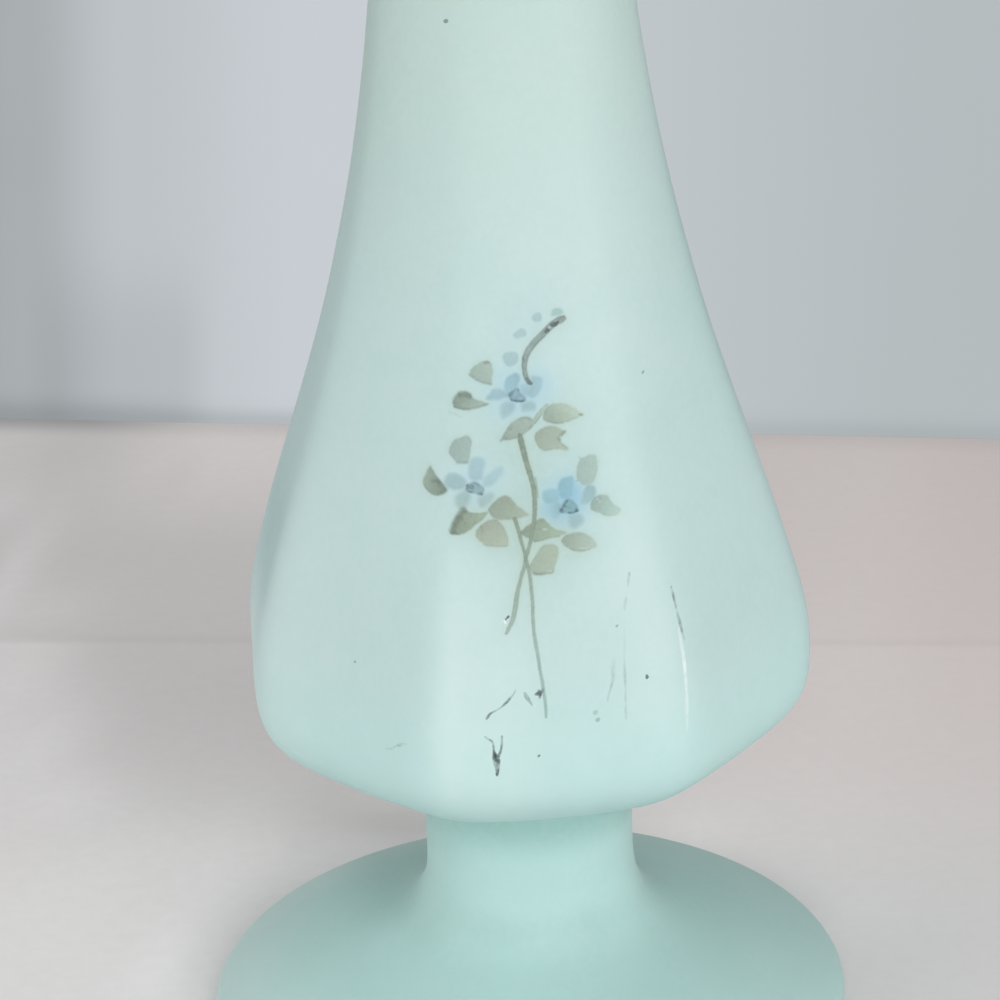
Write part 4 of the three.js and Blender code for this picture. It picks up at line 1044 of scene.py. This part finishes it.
for order, (name, (points, colour, dark, slope, marks)) in enumerate(LEAVES.items()):
    deeper = 0.955 if name == "leaf_07" else 1.0
    leaf_loops[name] = dab(points, tuple(v * deeper for v in colour), tuple(v * deeper for v in dark), slope, 0.98, 0.30, 0.16, 0.16, 400 + order * 11, 0.18)
    for i, (path, half, kind, amount) in enumerate(marks):
        tone = {"rim": tuple(0.80 * c for c in dark), "dark": (104, 116, 104), "speck": (90, 102, 96), "light": (214, 228, 222), "blue": (118, 142, 150)}[kind]
        alpha = {"rim": 0.50, "dark": 0.66, "speck": 0.55, "light": 0.60, "blue": 0.60}[kind] * amount
        w = 2 * half * {"rim": 0.9, "dark": 1.0, "speck": 1.0, "light": 1.0, "blue": 1.0}[kind]
        rows = [(px_, pz_, w) for px_, pz_ in path]
        line(rows, [tone], alpha, 0.22 if kind != "dark" else 0.36, 700 + order * 7 + i, 0.35)
stem_paths = {name: line(points, colours, alpha, 0.20, 900 + len(name), 0.12, 0.26, "stem") for name, (points, colours, alpha) in STEMS.items()}
for i, (points, colour, alpha) in enumerate(STEM_TOUCHES + STEM_PALE):
    line(points, [colour], alpha, 0.12, 940 + i, 0.2)
centre_loops = {}
for order, (name, (points, colour, dark, marks)) in enumerate(CENTRES.items()):
    centre_loops[name] = dab(points, colour, dark, (0.0, 0.0), 0.90, 0.34, 0.25, 0.16, 500 + order * 13, 0.45, "centre")
    for i, (path, half, amount) in enumerate(marks):
        line([(px_, pz_, 2 * half) for px_, pz_ in path], [(66, 94, 106)], 0.85 * amount, 0.14, 560 + order * 9 + i, 0.45)

# wear: scuffs, specks and the rubbed ridge. Rows: x, z, width, strength
SCUFF = (92, 106, 102)
WORN = [
    ([(-8.62, 56.22, 0.34, 1.0), (-8.15, 56.8, 0.28, 0.95), (-7.6, 57.03, 0.18, 0.55), (-6.76, 57.52, 0.26, 0.8), (-5.91, 58.29, 0.30, 0.95), (-5.33, 58.93, 0.18, 0.6), (-5.09, 59.44, 0.14, 0.5)], SCUFF, 0.90),
    ([(-4.14, 58.86, 0.34, 0.9), (-3.92, 58.34, 0.50, 1.0), (-3.62, 57.85, 0.34, 0.7), (-3.38, 57.4, 0.24, 0.5)], (104, 120, 116), 0.80),
    ([(-2.92, 58.58, 0.28, 0.9), (-2.52, 58.72, 0.52, 1.0), (-2.22, 58.90, 0.46, 1.0), (-1.98, 59.10, 0.24, 0.8)], (66, 80, 78), 0.98),
    ([(-2.46, 58.20, 0.22, 0.9), (-2.36, 58.68, 0.42, 1.0), (-2.52, 59.06, 0.24, 0.8)], (70, 84, 80), 0.95),
    ([(-8.92, 54.05, 0.22, 0.7), (-8.62, 53.72, 0.24, 0.7), (-8.22, 53.5, 0.26, 0.8), (-8.02, 52.8, 0.26, 0.9), (-7.98, 52.0, 0.34, 1.0), (-7.86, 51.5, 0.50, 1.0)], (86, 100, 97), 0.88),
    ([(-7.98, 51.95, 0.40, 1.0), (-7.82, 51.4, 0.80, 1.0), (-7.74, 50.8, 0.86, 1.0), (-7.70, 50.1, 0.60, 1.0), (-7.70, 49.6, 0.44, 1.0), (-7.75, 49.05, 0.36, 1.0)], (98, 113, 109), 0.98),
    ([(-7.98, 51.9, 0.28, 0.9), (-7.80, 51.2, 0.42, 0.9), (-7.70, 50.6, 0.30, 0.5), (-7.70, 49.9, 0.20, 0.3), (-7.74, 49.2, 0.30, 1.0)], (76, 90, 88), 0.90),
    ([(-7.01, 53.98, 0.26, 0.7), (-7.05, 53.1, 0.28, 0.9), (-7.16, 52.4, 0.30, 0.95), (-7.48, 51.5, 0.36, 1.0)], (86, 100, 97), 0.88),
    ([(-5.66, 67.20, 0.22, 1.0), (-5.32, 67.52, 0.26, 1.0)], (36, 46, 46), 0.95),
    ([(8.84, 71.0, 0.34, 0.9), (8.66, 70.2, 0.30, 0.7), (8.54, 69.6, 0.24, 0.3)], (124, 146, 140), 0.55),
    ([(8.26, 68.45, 0.30, 0.5), (8.1, 67.9, 0.38, 0.8), (7.98, 67.2, 0.32, 0.6)], (130, 153, 147), 0.50),
    ([(7.78, 65.0, 0.24, 0.3), (7.6, 62.5, 0.24, 0.25), (7.5, 61.3, 0.26, 0.35), (7.47, 60.2, 0.34, 0.8), (7.44, 58.9, 0.32, 0.7), (7.42, 58.0, 0.26, 0.4), (7.38, 57.3, 0.32, 0.8), (7.36, 56.9, 0.30, 0.35), (7.32, 55.4, 0.34, 0.65), (7.30, 54.6, 0.28, 0.4)], (128, 149, 143), 0.52),
    ([(6.28, 61.8, 0.46, 0.25), (6.14, 60.5, 0.52, 0.45), (6.06, 59.6, 0.40, 0.75), (5.84, 58.8, 0.30, 0.9), (5.5, 58.0, 0.26, 0.65), (5.26, 57.1, 0.24, 0.5)], (130, 151, 145), 0.50),
    ([(13.72, 68.62, 0.28, 1.0), (13.76, 68.35, 0.20, 0.15), (13.84, 68.05, 0.28, 0.9), (13.98, 67.2, 0.34, 1.0), (14.12, 66.4, 0.28, 0.8), (14.2, 65.9, 0.2, 0.25), (14.28, 65.4, 0.32, 0.8), (14.44, 64.6, 0.36, 1.0), (14.6, 63.8, 0.36, 1.0), (14.74, 63.1, 0.26, 0.6), (14.88, 62.5, 0.2, 0.3)], (100, 118, 113), 0.72),
    ([(-19.7, 51.02, 0.24, 0.5), (-19.1, 51.25, 0.26, 0.6), (-18.72, 51.75, 0.22, 0.5), (-18.35, 52.0, 0.36, 1.0), (-17.9, 52.42, 0.26, 0.5), (-17.45, 52.5, 0.2, 0.4)], (132, 156, 148), 0.62),
]
RUBBED = [
    ([(14.26, 63.9, 0.32, 0.45), (14.42, 62.2, 0.42, 0.85), (14.57, 60.6, 0.46, 1.0), (14.64, 58.6, 0.42, 0.9), (14.66, 57.0, 0.34, 0.6)], (236, 246, 244), 0.78),
    ([(14.66, 57.2, 0.34, 0.6), (14.64, 55.25, 0.40, 0.7), (14.57, 53.9, 0.36, 0.55), (14.50, 52.2, 0.30, 0.35)], (234, 244, 243), 0.75),
    ([(-5.82, 67.05, 0.26, 0.9), (-5.70, 66.78, 0.22, 0.8)], (240, 248, 248), 0.80),
]
DOTS = [(-2.89, 51.18, 0.32, 0.85), (10.02, 59.3, 0.38, 0.95), (9.98, 59.52, 0.26, 0.9), (-22.25, 60.2, 0.26, 0.6), (-7.22, 132.54, 0.50, 0.75), (12.62, 91.83, 0.34, 0.6),
        (6.96, 65.42, 0.34, 0.5), (3.82, 55.9, 0.62, 0.30), (4.05, 55.0, 0.56, 0.42)]
worn_loops, rubbed_loops = [], []
for i, (rows, colour, alpha) in enumerate(WORN):
    worn_loops.append(band(line(rows, [colour], alpha, 0.12, 1000 + i, 0.45 if alpha < 0.99 else 0.05), 0.12))
for i, (rows, colour, alpha) in enumerate(RUBBED):
    rubbed_loops.append(band(line(rows, [colour], alpha, 0.16, 1050 + i, 0.45), 0.14))
for i, (x0, z0, w, alpha) in enumerate(DOTS):
    path = line([(x0 - 0.05, z0 - 0.04, w), (x0 + 0.05, z0 + 0.05, w * 0.9)], [(96, 112, 106)], alpha, 0.14, 1100 + i)
    worn_loops.append(band(path, 0.10))

# ------------------------------------------------------------------ the pieces
for order, name in enumerate(leaf_loops):
    film = Film()
    film.skin(grown(leaf_loops[name], 0.74), 0.095, 0.0004 * order)
    film.make(f"painted_{name}", leaf_paint, name)
for order, name in enumerate(stem_paths):
    film = Film()
    film.skin(band(stem_paths[name], 0.60), 0.095, 0.007 + 0.0005 * order)
    film.make(f"painted_{name}", stem_paint, name)
film = Film()
film.skin(band(opened([(-0.72, 88.36, 0.50), (-0.36, 88.80, 0.56), (0.05, 89.32, 0.52), (0.48, 89.78, 0.46), (0.95, 90.15, 0.34)]), 0.5), 0.095, 0.0006)
film.skin(band(opened([(-9.95, 89.72, 0.30), (-9.4, 89.58, 0.34), (-8.75, 89.32, 0.26)]), 0.20), 0.075)
film.make("painted_smears", stem_paint)
for order, name in enumerate(petal_loops):
    film = Film()
    film.skin(blob(petal_loops[name], 1.15), 0.10, 0.0085 + 0.0005 * order)
    film.make(f"painted_{name}_petals", petal_paint, f"{name}_petals")
    film = Film()
    film.skin(grown(centre_loops[name], 0.22), 0.075, 0.0105 + 0.0005 * order)
    film.make(f"painted_{name}_centre", centre_paint, f"{name}_centre")
for order, name in enumerate(bud_loops):
    film = Film()
    film.skin(grown(bud_loops[name], 0.36), 0.085, 0.0065 + 0.0005 * order)
    film.make(f"painted_{name}", petal_paint, name)
film = Film()
for loop in worn_loops:
    film.skin(loop, 0.075, 0.0, 0.006)
film.make("wear_dark", worn_paint)
film = Film()
for loop in rubbed_loops:
    film.skin(loop, 0.075, 0.0, 0.006)
film.make("wear_pale", worn_paint)


# ------------------------------------------------------------------ table, light, world
edge_a, edge_b = on_table(0, 416), on_table(1000, 436.5)
along = (edge_b - edge_a).normalized()
back = Vector((-along.y, along.x, 0.0))
if back.y < 0:
    back = -back
mid = edge_a + along * ((Vector((0, 0, 0)) - edge_a).dot(along))
far = mid.dot(back) * MM


# painted light and shadow on the table: soft lighter and darker patches round the vase; each row: place, rim of the
# patch, strength, colour
PATCHES = [
    (0, 590, 75, 515, 0.44, (252, 250, 251)), (42, 745, 125, 690, 0.62, (252, 250, 251)), (135, 862, 245, 815, 0.62, (255, 253, 253)),
    (402, 824, 462, 846, 0.20, (112, 108, 106)), (335, 800, 395, 775, 0.07, (120, 116, 114)), (695, 834, 755, 806, 0.30, (255, 252, 251)),
    (770, 705, 815, 680, 0.05, (120, 116, 114)), (850, 920, 900, 890, 0.16, (255, 252, 251)), (30, 612, 115, 584, 0.34, (252, 250, 251)),
    (5, 505, 50, 480, 0.26, (252, 250, 251)), (70, 800, 145, 770, 0.50, (255, 252, 253)), (20, 684, 85, 662, 0.26, (252, 250, 251)),
    (218, 868, 285, 818, 0.55, (255, 254, 253)), (264, 856, 292, 836, 0.34, (255, 252, 250)), (165, 955, 220, 905, 0.50, (255, 254, 253)), (180, 475, 215, 450, 0.05, (120, 116, 114)),
]


def floor_material():
    m = Nodes("table_top")
    v = m.coords()
    broad = m.noise(v, 9.0, 2.0, 0.5)
    fine = m.noise(v, 420.0, 3.0, 0.6)
    depth = m.dot(v, back)
    side = m.dot(v, along)
    near = on_table(60, 900).dot(back) * MM, on_table(60, 680).dot(back) * MM

    def across(px, py=450):
        return on_table(px, py).dot(along) * MM

    colour = m.mix(m.remap(side, across(330), across(800), 0.0, 1.0, True), lin(220, 217, 217), lin(229, 221, 219))
    colour = m.mix(m.remap(side, across(-20), across(75), 0.30, 0.0, True), colour, lin(244, 243, 243))
    def patch_at(x0, y0, x1, y1, strength):
        """Soft oval on the table round a place, as wide and deep as a second place says."""
        middle, rim = on_table(x0, y0), on_table(x1, y1)
        u = m.plain("DIVIDE", m.plain("SUBTRACT", side, middle.dot(along) * MM), abs((rim - middle).dot(along)) * MM)
        w = m.plain("DIVIDE", m.plain("SUBTRACT", depth, middle.dot(back) * MM), abs((rim - middle).dot(back)) * MM)
        both = m.plain("ADD", m.plain("MULTIPLY", u, u), m.plain("MULTIPLY", w, w))
        return m.plain("MULTIPLY", m.plain("EXPONENT", m.plain("MULTIPLY", both, -1.0), 0.0), strength)

    # painted light: a lighter band at the table's left edge
    corner_light = m.math("MULTIPLY", m.remap(side, across(0, 690), across(95, 690), 0.80, 0.0, True), m.remap(depth, on_table(10, 648).dot(back) * MM, on_table(10, 632).dot(back) * MM, 1.0, 0.0, True))
    corner_light = m.math("MULTIPLY", corner_light, m.remap(depth, on_table(10, 850).dot(back) * MM, on_table(10, 760).dot(back) * MM, 0.0, 1.0, True))
    colour = m.mix(corner_light, colour, lin(244, 243, 243))
    colour = m.mix(m.remap(side, across(860), across(1000), 0.0, 0.55, True), colour, lin(220, 210, 208))
    # painted light: the near part of the table lighter
    light = m.mix(m.remap(side, across(330, 900), across(800, 900), 0.0, 1.0, True), lin(240, 239, 239), lin(229, 228, 228))
    colour = m.mix(m.remap(depth, near[0], near[1], 1.0, 0.0, True), colour, light)
    # painted light: a lighter patch on the table left of the vase, towards the back
    patch = m.math("MULTIPLY", m.remap(side, across(70), across(230), 0.0, 1.0, True), m.remap(side, across(330), across(420), 1.0, 0.0, True))
    patch = m.math("MULTIPLY", patch, m.remap(depth, on_table(200, 560).dot(back) * MM, on_table(200, 440).dot(back) * MM, 0.0, 0.78, True))
    colour = m.mix(patch, colour, lin(250, 244, 244))
    # a faint line across the table behind the vase: a little lighter on one side, darker just beyond it
    a, b = on_table(0, 643), on_table(1000, 647)
    way = (b - a).normalized()
    out = Vector((-way.y, way.x, 0.0))
    line_depth = m.dot(v, out)
    s0 = a.dot(out) * MM
    colour = m.mix(m.remap(line_depth, s0 - 0.0015, s0 + 0.0015, 0.10, 0.0, True), colour, lin(244, 240, 240))
    line_dark = m.math("MULTIPLY", m.remap(line_depth, s0 - 0.0005, s0 + 0.0012, 0.0, 1.0, True), m.remap(line_depth, s0 + 0.0012, s0 + 0.0040, 1.0, 0.0, True))
    colour = m.mix(m.math("MULTIPLY", line_dark, 0.07), colour, lin(150, 140, 138))
    for x0, y0, x1, y1, strength, tint in PATCHES:
        colour = m.mix(patch_at(x0, y0, x1, y1, strength), colour, lin(*tint))
    # painted shade along the table's far edge, strongest at the left
    edge_shade = m.remap(depth, far - 0.0100, far - 0.0005, 0.0, 1.0, True)
    strength = m.remap(side, across(60, 420), across(220, 420), 0.60, 0.22, True)
    strength = m.math("MULTIPLY", strength, m.remap(side, across(280, 420), across(760, 420), 1.0, 0.60, True))
    colour = m.mix(m.math("MULTIPLY", edge_shade, strength), colour, lin(120, 124, 128))
    colour = m.mix(m.remap(broad, 0.3, 0.7, 0.0, 0.16), colour, lin(224, 212, 208))
    colour = m.mix(m.remap(fine, 0.35, 0.65, 0.0, 0.06), colour, lin(196, 190, 188))
    m.wire(colour, m.p.inputs["Base Color"])
    m.wire(m.remap(fine, 0.3, 0.7, 0.58, 0.68), m.p.inputs["Roughness"])
    m.p.inputs["Specular IOR Level"].default_value = 0.3
    m.wire(m.bump(fine, 0.05, 0.0002), m.p.inputs["Normal"])
    return m.mat


WIDE, DEEP, ROUND = 900.0, 1100.0, 1.5
outline = [(-DEEP, 0.0)] + [(-DEEP + i * (DEEP / 12), 0.0) for i in range(1, 12)]
outline += [(-ROUND + ROUND * math.sin(a), -ROUND + ROUND * math.cos(a)) for a in np.linspace(0, math.pi * 0.5, 12)]
outline += [(0.0, -40.0)]
fv, ff = [], []
for side in (-1.0, 1.0):
    for u, h in outline:
        p = mid + along * (side * WIDE) + back * u
        fv.append(Vector((p.x, p.y, h)) * MM)
n_o = len(outline)
for i in range(n_o - 1):
    ff.append((i, n_o + i, n_o + i + 1, i + 1))
table = link("table_top", fv, ff, floor_material())


def area(name, azimuth, elevation, power, size=0.6, distance=1.0, colour=(1.0, 1.0, 1.0)):
    data = bpy.data.lights.new(name, "AREA")
    data.shape = "DISK"
    data.size = size
    data.energy = power
    data.color = colour
    obj = bpy.data.objects.new(name, data)
    bpy.context.scene.collection.objects.link(obj)
    a, e = math.radians(azimuth), math.radians(elevation)
    aim = Vector((0, 0, 0.08))
    where = aim + Vector((math.sin(a) * math.cos(e), -math.cos(a) * math.cos(e), math.sin(e))) * distance
    obj.location = where
    obj.rotation_euler = (aim - where).to_track_quat("-Z", "Y").to_euler()
    obj.visible_camera = False
    return obj


area("key", 0, 15, 3.75)
area("key_right", 32, 17, 1.90, 0.40)
area("left", -90, 18, 2.80)
area("front_high", 22, 38, 1.15, 0.32)
area("right", 90, 15, 0.42)
area("top", 0, 90, 0.55)
area("back_left", -150, 40, 0.35)

world = bpy.data.worlds.new("world")
bpy.context.scene.world = world
world.use_nodes = True
W = Nodes.__new__(Nodes)
W.t = world.node_tree
W.t.nodes.clear()
w_out = W.t.nodes.new("ShaderNodeOutputWorld")
w_bg = W.t.nodes.new("ShaderNodeBackground")
w_co = W.t.nodes.new("ShaderNodeTexCoord")
way = w_co.outputs["Generated"]
aside = W.dot(way, cam_right)


def px(x):
    return (x - 500.0) / CAM["f"]


wall = W.ramp(W.remap(aside, px(0), px(1000), 0.0, 1.0), [
    (0.0, lin(167, 172, 174)), (0.03, lin(169, 174, 176)), (0.13, lin(189, 195, 199)), (0.32, lin(200, 206, 211)), (1.0, lin(181, 188, 190)),
])
line_up = sight(1000, 436.5).cross(sight(0, 416)).normalized()
if line_up.dot(sight(500, 100)) < 0:
    line_up = -line_up
above = W.dot(way, line_up)
# painted shadow on the backdrop: a dark patch low on the wall at the left and a dark band along the wall just above the
# table's far edge
wall_shadow = W.math("MULTIPLY", W.remap(aside, px(25), px(65), 0.0, 1.0, True), W.remap(aside, px(175), px(225), 1.0, 0.0, True))
wall_shadow = W.math("MULTIPLY", wall_shadow, W.remap(above, 0.018, 0.050, 0.18, 0.0, True))
wall = W.mix(wall_shadow, wall, lin(120, 126, 130))
wall_base_shadow_wide = W.math("MULTIPLY", W.remap(above, 0.0, 0.0085, 1.0, 0.0, True), W.remap(aside, px(100), px(240), 0.30, 0.07, True))
wall = W.mix(wall_base_shadow_wide, wall, lin(116, 121, 124))
wall_base_shadow_tight = W.math("MULTIPLY", W.remap(above, 0.0, 0.0048, 1.0, 0.0, True), W.remap(aside, px(100), px(200), 0.16, 0.25, True))
wall_base_shadow_tight = W.math("MULTIPLY", wall_base_shadow_tight, W.remap(aside, px(280), px(760), 1.0, 0.55, True))
wall = W.mix(wall_base_shadow_tight, wall, lin(116, 121, 124))
cloudy = W.noise(way, 14.0, 3.0, 0.55)
wall = W.mix(W.remap(cloudy, 0.38, 0.64, 0.0, 0.10), wall, lin(190, 194, 200))
upper = W.remap(W.dot(way, (0.0, 0.0, 1.0)), -0.10, 0.10, 0.0, 1.0, True)
sky = W.mix(upper, wall, (0.40, 0.40, 0.40, 1.0))
W.wire(sky, w_bg.inputs["Color"])
w_bg.inputs["Strength"].default_value = 1.0
W.t.links.new(w_bg.outputs["Background"], w_out.inputs["Surface"])

view = bpy.context.scene.view_settings
view.view_transform = "Standard"
view.look = "None"
view.exposure = 0.0
view.gamma = 1.0
